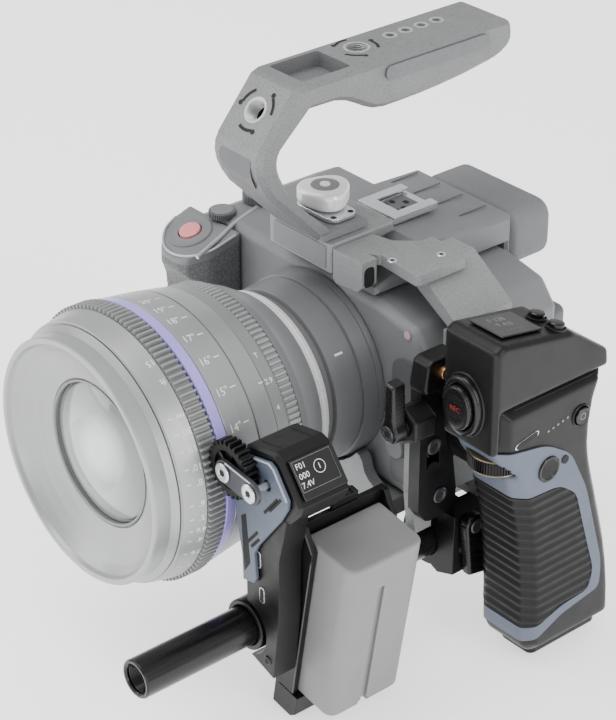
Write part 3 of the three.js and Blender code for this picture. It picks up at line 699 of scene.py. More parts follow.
def lettering(name, text, size, place, finish, body, centred=True):
    """Flat printed characters; place maps (across, up) in millimetres to a point in millimetres."""
    curve = bpy.data.curves.new("glyphs", "FONT")
    curve.body = text
    curve.size = size
    curve.align_x = "CENTER" if centred else "LEFT"
    curve.align_y = "CENTER"
    curve.resolution_u = 3
    obj = bpy.data.objects.new("glyphs", curve)
    bpy.context.scene.collection.objects.link(obj)
    graph = bpy.context.evaluated_depsgraph_get()
    bm = bmesh.new()
    bm.from_mesh(obj.evaluated_get(graph).to_mesh())
    bpy.data.objects.remove(obj)
    bpy.data.curves.remove(curve)
    for vertex in bm.verts:
        vertex.co = place(vertex.co.x, vertex.co.y)
    return add_piece(name, bm, finish, body, weighted=False)


def on_plane(origin, across, up):
    o, a, u = Vector(origin), Vector(across).normalized(), Vector(up).normalized()
    return lambda x, y: o + a * x + u * y


def radius_at(profile, y):
    for (y0, r0), (y1, r1) in zip(profile, profile[1:]):
        if y0 <= y <= y1:
            return r0 + (r1 - r0) * (y - y0) / max(y1 - y0, 1e-9)
    return profile[0][1] if y < profile[0][0] else profile[-1][1]


def on_ring(profile, y, degrees, reverse=False, lift=0.06):
    """Characters on a lens ring, reading along the lens axis."""
    side = -1 if reverse else 1

    def place(across, up):
        along = y + side * across
        radius = radius_at(profile, along) + lift
        angle = math.radians(degrees) + side * up / radius
        return Vector((radius * math.cos(angle), LENS_FRONT + along, AXIS_Z + radius * math.sin(angle)))

    return place


def ring_tick(profile, y0, y1, degrees, width, finish, body, name):
    place = on_ring(profile, (y0 + y1) / 2, degrees)
    half = (y1 - y0) / 2
    bm = bmesh.new()
    corners = [
        place(x, y)
        for x, y in ((-half, -width / 2), (half, -width / 2), (half, width / 2), (-half, width / 2))
    ]
    bm.faces.new([bm.verts.new(c) for c in corners])
    add_piece(name, bm, finish, body, weighted=False)


# ------------------------------------------------------------ lens
FOCUS_PROFILE = [(9.6, 50.5), (19.1, 52.2)]
BARREL_PROFILE = [(32, 52.2), (45.6, 50.4), (46.4, 50.2), (55.7, 48.6)]
IRIS_PROFILE = [(56, 48), (61.6, 47.6)]
ADAPTER_PROFILE = [(92.6, 36), (104.4, 37), (105.4, 37.6), (111.7, 38.2)]


def lens_ring(node, finish, outer, bore, segments=160):
    """outer runs from front to back as (y from the lens front, radius)."""
    profile = [(LENS_FRONT + y, r) for y, r in outer]
    profile += [(LENS_FRONT + outer[-1][0], bore), (LENS_FRONT + outer[0][0], bore)]
    return add_piece(f"{node}_body", lathe(profile, LENS_FRAME, segments), finish, NODE_BODY[node], [node])


def eased(outer, ease=0.3):
    """Chamfers the first and last edge of a ring's outer profile."""
    (y0, r0), (y1, r1) = outer[0], outer[-1]
    return [(y0, r0 - ease), (y0 + ease, r0), *outer[1:-1], (y1 - ease, r1), (y1, r1 - ease)]


def build_lens():
    front = LENS_FRONT
    lens_rim = [
        (0.0, 46.6), (0.15, 47.1), (0.6, 47.45), (1.2, 47.5), (6.2, 47.5), (6.7, 47.3), (
            9.0, 49.45,
        ), (9.2, 49.4),
        (9.2, 43.5), (12.6, 27.6), (10.9, 27.6), (
            10.5, 28.6,
        ), (9.9, 29.0), (8.9, 31.6), (8.7, 32.4), (6.8, 36.4),
        (6.5, 37.4), (4.6, 40.6), (4.2, 41.4), (2.0, 44.0), (1.5, 44.4), (0.25, 45.0), (0.0, 45.4),
    ]
    profile = [(front + y, r) for y, r in lens_rim]
    add_piece("front_ring_body", lathe(profile, LENS_FRAME, 192), "lens", "rig", ["front_ring"], sharp=30)
    retainer = [(9.7, 27.5), (9.45, 27.9), (9.7, 28.35), (10.3, 28.4), (10.3, 27.3)]
    add_piece(
        "glass_retainer", lathe([(front + y, r) for y, r in retainer], LENS_FRAME, 160), "lens_dark", "rig",
    )
    dome = [(front + 5.3 + r * r / 118.0, r) for r in [27.3 * k / 26 for k in range(27)]]
    dome += [(front + 14.9, 27.3), (front + 14.9, 0)]
    add_piece("front_glass_body", lathe(dome, LENS_FRAME, 128, closed=False), "glass", "rig", ["front_glass"])

    focus = [(9.6, 50.0), (9.9, 50.4), (11.0, 50.7), (19.1, 52.15)]
    lens_ring("focus_ring", "lens", eased(focus, 0.25), 44)
    gear_root = GEAR_MODULE * FOCUS_TEETH / 2 - 1.2 * GEAR_MODULE
    gear_tip = GEAR_MODULE * FOCUS_TEETH / 2 + 0.92 * GEAR_MODULE
    add_piece("focus_gear_body", gear_mesh(
        FOCUS_TEETH, gear_root, gear_tip, 44, FOCUS_GEAR_FRONT, GEAR_BACK, LENS_FRAME,
        first=GEAR_LINE + math.pi / FOCUS_TEETH, chamfer=0.15,
    ), "gear_grey", "focus_ring", ["focus_gear"], sharp=30)
    lens_ring("accent_ring", "lavender", eased([(27.2, 52.9), (31.7, 52.4)]), 44)
    lens_ring("scale_barrel", "lens", eased([
        (32, 52.2), (45.5, 50.45), (45.6, 49.6), (46.3, 49.6), (46.4, 50.2), (55.7, 48.6),
    ]), 40)
    lens_ring("iris_ring", "lens_dark", eased([
        (56, 48), (61.5, 47.6), (61.6, 46.4), (67.9, 46.2), (68, 46.8), (72, 45),
    ], 0.2), 38)
    add_piece("iris_knurl", gear_mesh(
        132, 46.35, 47.4, 45.5, front + 62, front + 67.6, LENS_FRAME, chamfer=0.35, shares=(0.36, 0.2),
    ), "lens", "iris_ring", sharp=30)
    lens_ring("rear_barrel", "lens_rear", eased([(72.3, 43.8), (76, 43), (83.7, 38.4)]), 32)
    lens_ring("silver_ring", "silver", eased([
        (84, 37.8), (85.6, 37.5), (85.8, 36.9), (86.3, 36.9), (86.5, 37.3), (88.4, 36.8),
    ], 0.25), 30)
    lens_ring("mount_adapter", "adapter", [
        (88.7, 34.2), (92.6, 34), (92.7, 35.7), (92.9, 36), (104.2, 37), (104.4, 36.3), (105.3, 36.3),
        (105.5, 37.5), (111.5, 38.2), (111.7, 38),
    ], 29)

    for text, degrees in (
        ('22"', 109), ('20"', 94.3), ('19"', 85.1), ('18"', 76.5), ('17"', 65.8), ('16"', 54.1), (
            '15"', 40.4,
        ),
        ('14"', 25.5), ('13"', 7.0), ('12"', -14.0),
    ):
        tag = text.strip('"')
        lettering(f"scale_{tag}", text, 4.3, on_ring(BARREL_PROFILE, 36.6, degrees), "print", "rig")
        ring_tick(BARREL_PROFILE, 40.6, 43.2, degrees + 0.6, 0.45, "print", "rig", f"scale_tick_{tag}")
    for tag, text, degrees in (
        ("inf", "∞", 38.5), ("30", "30'", 31.8), ("15", "15'", 25), ("10", "10'", 17.5), ("8", "8'", 11.3),
        ("6", "6'", 2.0), ("5", "5'", -4.6), ("46", "4'6", -10.6), ("4", "4'", -16), ("36", "3'6", -24),
        ("3", "3'", -34), ("26", "2'6", -46), ("mm", "15", 62), ("ft", "ft", 53),
    ):
        lettering(
            f"distance_{tag}", text, 3.5, on_ring(FOCUS_PROFILE, 17.0, degrees, True), "print", "focus_ring",
        )
        if tag not in ("mm", "ft"):
            ring_tick(FOCUS_PROFILE, 12.2, 13.8, degrees, 0.4, "print", "focus_ring", f"distance_tick_{tag}")
    for tag, text, degrees in (
        ("T", "T", 49.5), (
            "29", "2.9", 37.3,
        ), ("4", "4", 25.2), ("56", "5.6", 13), ("8", "8", 1), ("11", "11", -11),
    ):
        lettering(f"iris_{tag}", text, 3.0, on_ring(IRIS_PROFILE, 58.6, degrees), "print", "iris_ring")
    ring_tick(ADAPTER_PROFILE, 97, 100.6, 36, 0.9, "print", "rig", "adapter_index")
    ring_tick(BARREL_PROFILE, 53.4, 55.5, 38, 0.5, "print", "rig", "iris_index")


# ------------------------------------------------------------ camera
def build_camera():
    crisp("camera_body", "camera", 1.4, 4)
    tilt = math.atan2(6.5, 19.7)
    place = facing((-65.5, -46.6, 81), (0, -math.sin(tilt), math.cos(tilt)))
    top_cut = [(-70, 69.6), (-30, 82.8), (-30, 100), (-70, 100)]
    grip = remeshed(node_mesh("camera_grip"), 0.9, 7)
    top = combined(grip.copy(), metres(prism(top_cut, -90, -40, ALONG["x"], 0)), "INTERSECT")
    grip = combined(grip, metres(prism(top_cut, -90, -40, ALONG["x"], 0)), "DIFFERENCE")
    pocket = lathe([(-3, 0), (-3, 4.75), (4, 4.75), (4, 0)], place, 48, closed=False)
    top = combined(top, metres(pocket), "DIFFERENCE")
    add_piece("camera_grip_body", grip, "leather", "rig", ["camera_grip"], sharp=60, weighted=False, scale=1)
    add_piece("camera_grip_top", top, "camera", "rig", sharp=60, weighted=False, scale=1)
    crisp("body_mount_ring", "adapter", 0.3, 2)
    crisp("viewfinder_housing", "camera", 1.6, 4)
    cup = remeshed(node_mesh("eyecup"), 0.9, 8)
    add_piece("eyecup_body", cup, "pad", "rig", ["eyecup"], sharp=60, weighted=False, scale=1)
    add_piece(
        "eyecup_glass", prism(box_outline(-9, 17, 78.5, 91.5, 4), 58.4, 60.0, ALONG["y"], 0.4),
        "lens_cap_glass", "rig",
    )
    crisp("hot_shoe", "bright", 0.2, 2)
    for side in (-1, 1):
        add_piece(
            f"shoe_spring_{side + 2}",
            prism(
                box_outline(side * 7.6 - 1.1, side * 7.6 + 1.1, -3, 12, 0.5), 101.02, 101.35, ALONG["z"], 0.1,
            ),
            "bright", "rig",
        )
    add_piece(
        "shoe_floor", prism(box_outline(-6, 6, -1, 12, 0.6), 100.95, 101.12, ALONG["z"], 0.0), "camera_dark",
        "rig",
    )
    for i, (x, y) in enumerate(((0, 8.6), (-3.4, 4.6), (3.4, 4.6), (-3.4, 1.2), (3.4, 1.2))):
        add_piece(
            f"shoe_contact_{i + 1}",
            prism(box_outline(x - 1.2, x + 1.2, y - 1, y + 1, 0.6), 101.1, 101.25, ALONG["z"], 0.0), "void",
            "rig", weighted=False,
        )

    dome = [(-1.5, 0), (-1.5, 4.3), (-1.2, 4.5), (0.9, 4.5), (1.3, 4.3), (1.5, 3.8), (1.62, 2), (1.66, 0)]
    add_piece(
        "record_button_cap", lathe(dome, place, 48, closed=False), "pink", "record_button", ["record_button"],
    )
    bezel = [(-1.6, 4.9), (0.55, 4.9), (0.75, 5.2), (0.2, 7.4), (0.5, 8.6), (0.1, 9.1), (-1.6, 9.1)]
    add_piece("record_bezel", lathe(bezel, place, 72), "camera", "rig")

    # Painted highlights: pale beads along the grip's top rim and side rim, in the handle's edge metal.
    rim = [
        (-79, -43.5, 81.6), (-76.2, -51, 79.6), (-70, -56.6, 77.2), (-62, -58.2, 76.6), (-54, -55.6, 77.6),
        (-49, -49.5, 79.9), (-47.4, -38, 83.6),
    ]
    add_piece("grip_top_rim_highlight", tube(smooth_line(rim, 6), 0.5), "handle_edge", "rig")
    side_rim = [
        (-49, -56, 79.2), (-50, -50, 80.9), (-51.5, -42, 82.9), (-53.5, -34, 85.0), (-56, -24, 85.9),
        (-59.5, -13, 86.0),
    ]
    add_piece("grip_side_rim_highlight", tube(smooth_line(side_rim, 6), 0.9), "handle_edge", "rig")

    dial = facing((-62, -14, 86.5), (0, 0, 1))
    add_piece(
        "mode_dial_knurl", gear_mesh(48, 6.7, 7, 1, 0, 3.4, dial, chamfer=0.25, shares=(0.4, 0.25)),
        "camera_dark", "mode_dial", ["mode_dial"], sharp=30,
    )
    add_piece(
        "mode_dial_top", lathe([(0.5, 0), (0.5, 6), (3.5, 6), (3.8, 5.6), (3.8, 0)], dial, 48, closed=False),
        "camera", "mode_dial",
    )
    add_piece(
        "mode_dial_mark", prism(box_outline(-62.3, -61.7, -19, -15.5, 0.2), 90.32, 90.38, ALONG["z"], 0),
        "print", "mode_dial",
    )
    lever_base = facing((-62, -33, 85.2), (0, 0, 1))
    add_piece(
        "power_lever_dial", gear_mesh(40, 5.2, 5.6, 1, 0, 2.6, lever_base, chamfer=0.25, shares=(0.4, 0.25)),
        "camera_dark", "rig", sharp=30,
    )
    add_piece(
        "power_lever_cap",
        lathe([(1, 0), (1, 4.6), (2.8, 4.6), (3.1, 4.2), (3.1, 0)], lever_base, 40, closed=False), "camera",
        "rig",
    )

    add_piece(
        "screen_frame", crisp_from("rear_screen", 0.8), "camera_dark", "rear_screen", ["rear_screen"],
        sharp=40, scale=1,
    )
    add_piece(
        "screen_glass", prism(box_outline(-15, 52, 20, 64, 2), 40.9, 41.0, ALONG["y"], 0.0), "screen",
        "rear_screen",
    )

    for i, (x, z) in enumerate(((-30, 66), (-38, 66), (-32, 30), (-32, 22), (-46, 22))):
        knob = facing((x, 34, z), (0, 1, 0))
        add_piece(
            f"rear_button_{i + 1}",
            lathe([(0, 0), (0, 2.6), (0.9, 2.6), (1.2, 2.2), (1.25, 0)], knob, 32, closed=False),
            "camera_dark", "rig",
        )
    pad_centre = facing((-48, 34, 46), (0, 1, 0))
    add_piece(
        "rear_wheel", gear_mesh(60, 11.4, 11.8, 5.5, 0, 2.0, pad_centre, chamfer=0.3, shares=(0.4, 0.25)),
        "camera_dark", "rig", sharp=30,
    )
    add_piece(
        "rear_wheel_button",
        lathe([(0, 0), (0, 4.8), (1.4, 4.8), (1.8, 4.3), (1.7, 0)], pad_centre, 40, closed=False), "camera",
        "rig",
    )
    thumb = [(-76, 8), (-56, 8), (-56, 68), (-60, 74), (-76, 74)]
    add_piece(
        "rear_thumb_rest", prism(rounded([(u, v + 4) for u, v in thumb], 4), 33.9, 35.2, ALONG["y"], 0.6),
        "leather", "rig",
    )
    front_right = rounded([(42, 14), (57, 14), (57, 66), (50, 70), (42, 66)], 4)
    add_piece("front_side_panel", prism(front_right, -35.6, -34.9, ALONG["y"], 0.25), "camera_dark", "rig")
    add_piece(
        "front_mark",
        lathe(
            [(0, 0), (0, 1.7), (0.15, 1.7), (0.2, 1.5), (0.2, 0)], facing((49.5, -35.1, 79), (0, -1, 0)), 32,
            closed=False,
        ),
        "pink_faint", "rig",
    )
    add_piece(
        "lens_release",
        lathe(
            [(0, 0), (0, 5), (1.6, 5), (2.1, 4.5), (2.1, 0)], facing((46, -35.5, 30), (0, -1, 0)), 40,
            closed=False,
        ),
        "camera", "rig",
    )
    for i in range(4):
        add_piece(
            f"finder_line_{i + 1}",
            prism(
                box_outline(-21 + 13 * i, -20.4 + 13 * i, 20, 34, 0.2), 98.4, 98.75, ALONG["z"], 0,
            ), "camera_dark", "rig",
        )


def smooth_line(points, steps):
    """A Catmull-Rom line through the points."""
    line = [Vector(p) for p in points]
    padded = [line[0]] + line + [line[-1]]
    result = []
    for i in range(1, len(padded) - 2):
        p0, p1, p2, p3 = padded[i - 1:i + 3]
        for k in range(steps):
            t = k / steps
            result.append(0.5 * (
                2 * p1 + (p2 - p0) * t + (2 * p0 - 5 * p1 + 4 * p2 - p3) * t * t
                + (3 * p1 - p0 - 3 * p2 + p3) * t ** 3
            ))
    result.append(line[-1])
    return result


def crisp_from(node, width):
    return soften_edges(node_mesh(node), width * MM, 3)


# ------------------------------------------------------------ cage
def build_cage():
    crisp("cage_base", "cage", 0.5, 2)
    crisp("cage_side_plate", "cage", 0.5, 2)
    crisp("cage_arm", "cage", 0.7, 3)
    crisp("cage_top_plate", "cage", 0.8, 3)
    label = rounded([(-18.6, 93.8), (11.7, 93.8), (11.7, 103.2), (-18.6, 103.2)], 1.2)
    add_piece("top_plate_panel", prism(label, -42.35, -41.9, ALONG["y"], 0.2), "camera", "rig")
    eye = rounded([(-40.2, 92.4), (-35.2, 92.4), (-35.2, 100.6), (-40.2, 100.6)], 2.2)
    # The eye is a thin dark plate on the arm's face: painted shade for the hole.
    add_piece("cage_arm_eye", prism(eye, 30.8, 31.08, ALONG["x"], 0), "void", "rig", weighted=False)
    for i, y in enumerate((-31, -14)):
        add_screw(
            f"cage_arm_screw_{i + 1}", (36 + 8 * i, y, 103.2), (0, 0, 1), "rig", "bright", 1.9, 0.4, 0.9,
        )
    for i, (x, y) in enumerate(((20, -6), (20, -34), (-36, 0))):
        add_screw(f"base_screw_{i + 1}", (x, y, 0.35), (0, 0, -1), "rig", "black_satin", 2.4, 0.3, 1.2)
    for i, (y, z) in enumerate(((-40, 57), (8, 56), (-22, 81), (-3, 81))):
        add_screw(f"side_screw_{i + 1}", (66, y, z), (1, 0, 0), "rig", "black_satin", 2.2, 0.3, 1.2)


# ------------------------------------------------------------ top handle
def build_handle():
    crisp("handle_frame", "handle", 0.9, 3)
    for node in ("handle_pad_left", "handle_pad_right"):
        crisp(node, "pad", 0.25, 2)
    face = Vector((0, -18.2, 15.3)).normalized()
    top = Vector((0, 0, 1))
    for tag, origin, normal in (
        ("front", Vector((HANDLE_X, -62.9, 159)), face),
        ("top", Vector((HANDLE_X - 2.5, -12.8, HANDLE_TOP)), top),
    ):
        place = facing(origin, normal)
        thread = [(-6.5, 4.75)]
        for k in range(8):
            thread += [(-6 + 0.75 * k, 4.0), (-5.65 + 0.75 * k, 4.5)]
        thread += [(0.02, 4.05), (0.1, 4.3), (0.1, 5.1), (-0.4, 5.3), (-6.5, 4.79)]
        add_piece(f"{tag}_insert", lathe(thread, place, 48), "handle_edge", "rig", sharp=30)
        # A dark disc at the insert's floor: painted shade for the hole's depth.
        add_piece(
            f"{tag}_insert_floor",
            lathe([(-6.4, 0), (-6.4, 4.7), (-6.2, 4.7), (-6.2, 0)], place, 32, closed=False), "void", "rig",
        )
        start = 0.5 if tag == "front" else 0.2
        for k in range(3):
            middle = start + k * 2 * math.pi / 3
            # Locating slots and pin holes are dark sheets and discs on the face: painted shade for their
            # depth.
            add_piece(
                f"{tag}_locating_slot_{k + 1}", arc_slot(7.4, 8.6, middle, 0.42, place), "void", "rig",
                weighted=False,
            )
            pin = place @ Vector((8.6 * math.cos(middle + 0.52), 8.6 * math.sin(middle + 0.52), -0.9))
            add_piece(
                f"{tag}_pin_hole_{k + 1}",
                lathe(
                    [(0.92, 0), (0.92, 1.0), (0.97, 1.0), (0.97, 0)], facing(pin, normal), 20, closed=False,
                ),
                "void", "rig",
            )
    for i in range(4):
        place = facing((HANDLE_X - 3.5, 4.5 + 7.9 * i, HANDLE_TOP), top)
        add_piece(
            f"small_insert_{i + 1}",
            lathe(
                [(-6.5, 2.05), (-6.5, 1.7), (0.0, 1.7), (0.12, 1.9), (0.12, 2.7), (0, 2.9), (-0.5, 2.3)],
                place, 28,
            ),
            "handle_edge", "rig",
        )
        # A dark disc at the small insert's floor: painted shade for the hole's depth.
        add_piece(
            f"small_insert_floor_{i + 1}",
            lathe([(-6, 0), (-6, 1.9), (-5.8, 1.9), (-5.8, 0)], place, 24, closed=False), "void", "rig",
        )
    # The recess is a darker sheet just over the face: painted shade for its depth.
    recess = rounded([(-8.5, 131.5), (6.5, 131.5), (8, 134), (8, 146), (-8.5, 146), (-10, 143)], 2.2)
    add_piece("lower_recess", skin_between(recess, handle_face_point), "camera_dark", "rig", weighted=False)
    knob = crisp_from("lock_knob", 1.1)
    add_piece("lock_knob_body", knob, "silver", "lock_knob", ["lock_knob"], sharp=40, scale=1)
    centre = (-6.5, -27, 117.2)
    dot = facing(centre, top)
    add_piece(
        "knob_dish",
        lathe(
            [(-0.5, 0), (-0.5, 5.5), (0.12, 5.5), (0.2, 5.2), (0.06, 2.6), (0.06, 0)], dot, 48, closed=False,
        ),
        "handle", "lock_knob",
    )
    add_piece(
        "knob_dot", lathe([(-0.3, 0), (-0.3, 2), (0.5, 2), (0.75, 1.6), (0.8, 0)], dot, 32, closed=False),
        "print", "lock_knob",
    )
    crisp("lock_base", "bright", 0.4, 3)
    for k in range(2):
        add_screw(
            f"lock_base_screw_{k + 1}", (5.2, -24.4 - 8.4 * k, 109.6), (0, 0, 1), "rig", "black_satin", 1.2,
            0.22, 0.6,
        )


def handle_face_point(x, z):
    """A point on the handle's lower front face at height z."""
    share = max(0.0, z - 128.5) / (149.5 - 128.5)
    curve = (1 - share) ** 2 * -66.4 + 2 * share * (1 - share) * -76.4 + share ** 2 * -70.8
    return Vector((x + HANDLE_X + 1, curve - 0.12, z))


def skin_between(outline, surface_point):
    """A thin sheet that follows a surface inside an outline of (x, z); here it carries the handle recess's
    painted shade.
    """
    xs = [p[0] for p in outline]
    zs = [p[1] for p in outline]
    rows = 12
    bm = bmesh.new()
    previous = None
    for i in range(rows + 1):
        z = min(zs) + (max(zs) - min(zs)) * i / rows
        cuts = crossings(outline, z, min(xs), max(xs))
        row = [bm.verts.new(surface_point(x, z)) for x in cuts]
        if previous:
            bm.faces.new((previous[0], previous[1], row[1], row[0]))
        previous = row
    return bm


def crossings(outline, z, low, high):
    found = []
    for (x0, z0), (x1, z1) in zip(outline, outline[1:] + outline[:1]):
        if (z0 - z) * (z1 - z) <= 0 and abs(z1 - z0) > 1e-9:
            found.append(x0 + (x1 - x0) * (z - z0) / (z1 - z0))
    return [min(found), max(found)] if len(found) > 1 else [low * 0.6, high * 0.6]


def arc_slot(inner, outer, middle, half, place):
    """A dark arc-shaped sheet lying just over a flat face: painted shade for a slot."""
    loops = []
    steps = 10
    low, high = 0.03, 0.08
    for i in range(steps + 1):
        angle = middle - half + 2 * half * i / steps
        direction = Vector((math.cos(angle), math.sin(angle), 0))
        corners = ((inner, low), (outer, low), (outer, high), (inner, high))
        loops.append([place @ (direction * r + Vector((0, 0, h))) for r, h in corners])
    return loops_to_mesh(loops, closed=False)


# ------------------------------------------------------------ bracket and rod
def build_bracket():
    crisp("bracket_plate", "black", 0.5, 3)
    crisp("bracket_block", "black", 0.7, 3)
    crisp("safety_pin", "brass", 0.5, 2)
    crisp("clamp_hub", "black", 0.6, 3)
    crisp("hub_lever", "black_satin", 1.0, 4)
    crisp("rod_clamp", "black", 0.7, 3)
    crisp("rod_clamp_lever", "black_satin", 1.0, 4)
    crisp("rosette_boss", "black", 0.5, 3)
    add_screw("hub_lever_screw", (74.4, -66.9, 61.2), (0, -1, 0), "hub_lever", "gunmetal", 3.0, 0.5, 1.5)
    add_screw("rod_lever_screw", (81.4, -27, 8), (1, 0, 0), "rod_lever", "gunmetal", 3.0, 0.5, 1.5)
    for i, (y, z) in enumerate(((-38, 22), (-21, 56))):
        add_screw(f"bracket_screw_{i + 1}", (72, y, z), (1, 0, 0), "rig", "gunmetal", 3.2, 0.9, 1.6)
    add_screw("slot_screw", (72, -41.6, 44.8), (1, 0, 0), "rig", "gunmetal", 3.4, 0.9, 1.7)
    spindle = facing((74.6, -59.8, 61.5), (0, -1, 0))
    add_piece(
        "hub_spindle", lathe([(0, 0), (0, 3.4), (0.6, 3.4), (0.6, 0)], spindle, 32, closed=False), "gunmetal",
        "rig",
    )
    split = facing((72.6, -25.5, -4), (1, 0, 0))
    add_piece(
        "rod_clamp_nut", lathe([(3, 0), (3, 5.2), (4.0, 5.4), (4.2, 5.0), (4.2, 0)], split, 6, closed=False),
        "gunmetal", "rig",
    )

    x, z = ROD
    place = Matrix.Translation((x, 0, z)) @ ALONG["y"]
    outer = [(-170.5, 6.9), (-170.2, 7.3), (-169.8, 7.5), (-15.6, 7.5), (-15.0, 7.0), (-15.0, 5.6)]
    thread = []
    for k in range(9):
        thread += [(-161.2 - 0.9 * k, 5.55), (-161.65 - 0.9 * k, 5.85)]
    profile = outer + [(-161.0, 5.55)] + thread + [(-169.8, 5.6), (-170.4, 6.1)]
    add_piece("support_rod_body", lathe(profile, place, 96), "black_satin", "rig", ["support_rod"])


# ------------------------------------------------------------ follow-focus motor
def build_motor():
    crisp("motor_housing", "charcoal", 1.3, 4)
    crisp("motor_clamp", "black", 0.6, 3)
    crisp("motor_side_plate", "blue_grey", 0.45, 3)
    # A pale bead along the side plate's top edge: a painted highlight.
    edge = [
        (56.8, -122.85, 68.3), (65.6, -122.85, 70.4), (76.2, -122.85, 72.6), (78.7, -122.85, 71.5),
        (85.8, -122.85, 61.8),
    ]
    add_piece("side_plate_edge_highlight", tube(edge, 0.4, 8), "edge_highlight", "motor")
    slashes = [
        ((76.5, 53.6), (82.6, 61.2)), ((73.6, 51.4), (80.8, 60.4)), ((64.2, 34.5), (69.8, 41.4)),
        ((66.2, 33.5), (70.6, 38.8)),
    ]
    # Slash grooves and the notch are thin dark sheets on the face: painted shade for their depth.
    for i, (a, b) in enumerate(slashes):
        add_piece(f"side_slash_{i + 1}", bar(a, b, 1.2, -122.92, -122.7), "void", "motor", weighted=False)
    notch = rounded([(60.8, 44), (63.4, 46), (65.4, 26), (62.2, 21), (61.6, 30)], 0.6)
    add_piece("side_notch", prism(notch, -122.9, -122.7, ALONG["y"], 0), "void", "motor", weighted=False)

    x, z = GEAR_X, GEAR_Z
    place = Matrix.Translation((x, 0, z)) @ ALONG["y"]
    root = GEAR_MODULE * DRIVE_TEETH / 2 - 1.2 * GEAR_MODULE
    tip = GEAR_MODULE * DRIVE_TEETH / 2 + 0.92 * GEAR_MODULE
    rim = gear_mesh(
        DRIVE_TEETH, root, tip, 7.4, DRIVE_FRONT, DRIVE_BACK, place, first=GEAR_LINE + math.pi, chamfer=0.3,
    )
    add_piece("drive_gear_rim", rim, "black", "drive_gear", ["drive_gear"], sharp=30)
    web = [
        (DRIVE_FRONT + 1.7, 2.2), (DRIVE_FRONT + 1.7, 7.6), (DRIVE_BACK - 1.2, 7.6), (DRIVE_BACK - 1.2, 2.2),
    ]
    add_piece("drive_gear_web", lathe(web, place, 48), "black", "drive_gear")
    hub = [(DRIVE_FRONT, 2.2), (DRIVE_FRONT, 3.2), (DRIVE_FRONT + 1.8, 3.5), (DRIVE_FRONT + 1.8, 2.2)]
    add_piece("drive_gear_hub", lathe(hub, place, 40), "black_satin", "drive_gear")
    for k in range(6):
        angle = k * math.pi / 3 + 0.3
        a = (x + 3.1 * math.cos(angle), z + 3.1 * math.sin(angle))
        b = (x + 7.6 * math.cos(angle), z + 7.6 * math.sin(angle))
        add_piece(
            f"drive_gear_spoke_{k + 1}", bar(a, b, 1.2, DRIVE_FRONT + 0.5, DRIVE_FRONT + 1.9), "black_satin",
            "drive_gear", weighted=False,
        )
    crisp("gear_link", "gunmetal", 0.45, 3)
    # A pale bead along the link's upper edge: a painted highlight.
    upper = [(x + 0.9, LINK_FRONT, z + 4.0), (LINK_END[0] + 0.45, LINK_FRONT, LINK_END[1] + 4.1)]
    add_piece("gear_link_edge_highlight", tube(upper, 0.3, 8), "edge_highlight", "motor")
    for tag, (cx, cz), body, node in (
        ("shaft", (x, z), "drive_gear", "gear_shaft"), ("link", LINK_END, "motor", "link_screw"),
    ):
        head_place = Matrix.Translation((cx, 0, cz)) @ ALONG["y"]
        shank = 2.0 if tag == "shaft" else 1.3
        seat = LINK_FRONT - 0.2
        profile = [
            (-121.3, 0), (-121.3, shank), (seat, shank), (seat, 3.5), (seat - 0.5, 3.6),
            (seat - 0.8, 3.3), (seat - 0.9, 2.9), (seat - 0.85, 1.8), (seat - 0.6, 1.6), (seat - 0.6, 0),
        ]
        add_piece(f"{tag}_screw", lathe(profile, head_place, 48, closed=False), "bright", body, [node])
        socket = [(seat - 0.66, 0), (seat - 0.66, 1.4), (seat - 0.58, 1.4), (seat - 0.58, 0)]
        add_piece(
            f"{tag}_screw_socket", lathe(socket, head_place, 6, closed=False), "void", body, weighted=False,
        )

    build_motor_display()
    for i, (cx, z0, z1) in enumerate(((68.0, 24.6, 31.6), (69.8, 10.4, 17.0))):
        ring = box_outline(cx - 1.35, cx + 1.35, z0, z1, 1.3)
        inner = box_outline(cx - 0.95, cx + 0.95, z0 + 0.4, z1 - 0.4, 0.9)
        add_piece(f"motor_port_{i + 1}", prism(ring, -121.35, -120.9, ALONG["y"], 0.15), "bright", "motor")
        # The port opening is a thin dark plate: painted shade for its depth.
        add_piece(
            f"motor_port_slot_{i + 1}", prism(inner, -121.42, -121.3, ALONG["y"], 0), "void", "motor",
            weighted=False,
        )
    add_screw("motor_foot_screw_1", (72.4, -121, -13.5), (0, -1, 0), "motor", "black_satin", 1.9, 0.5, 1.0)
    for i in range(2):
        y = -116.6 + 13 * i
        add_piece(
            f"motor_head_line_{i + 1}", bar((65, 73.95), (75.5, 76.03), 0.2, y, y + 0.5), "void", "motor",
            weighted=False,
        )


def bar(a, b, width, lo, hi):
    """A flat bar between two (x, z) points, from y lo to y hi."""
    start, end = Vector(a), Vector(b)
    side = Vector((-(end - start).y, (end - start).x)).normalized() * width / 2
    corners = [start - side, end - side, end + side, start + side]
    return prism([(c.x, c.y) for c in corners], lo, hi, ALONG["y"], 0)


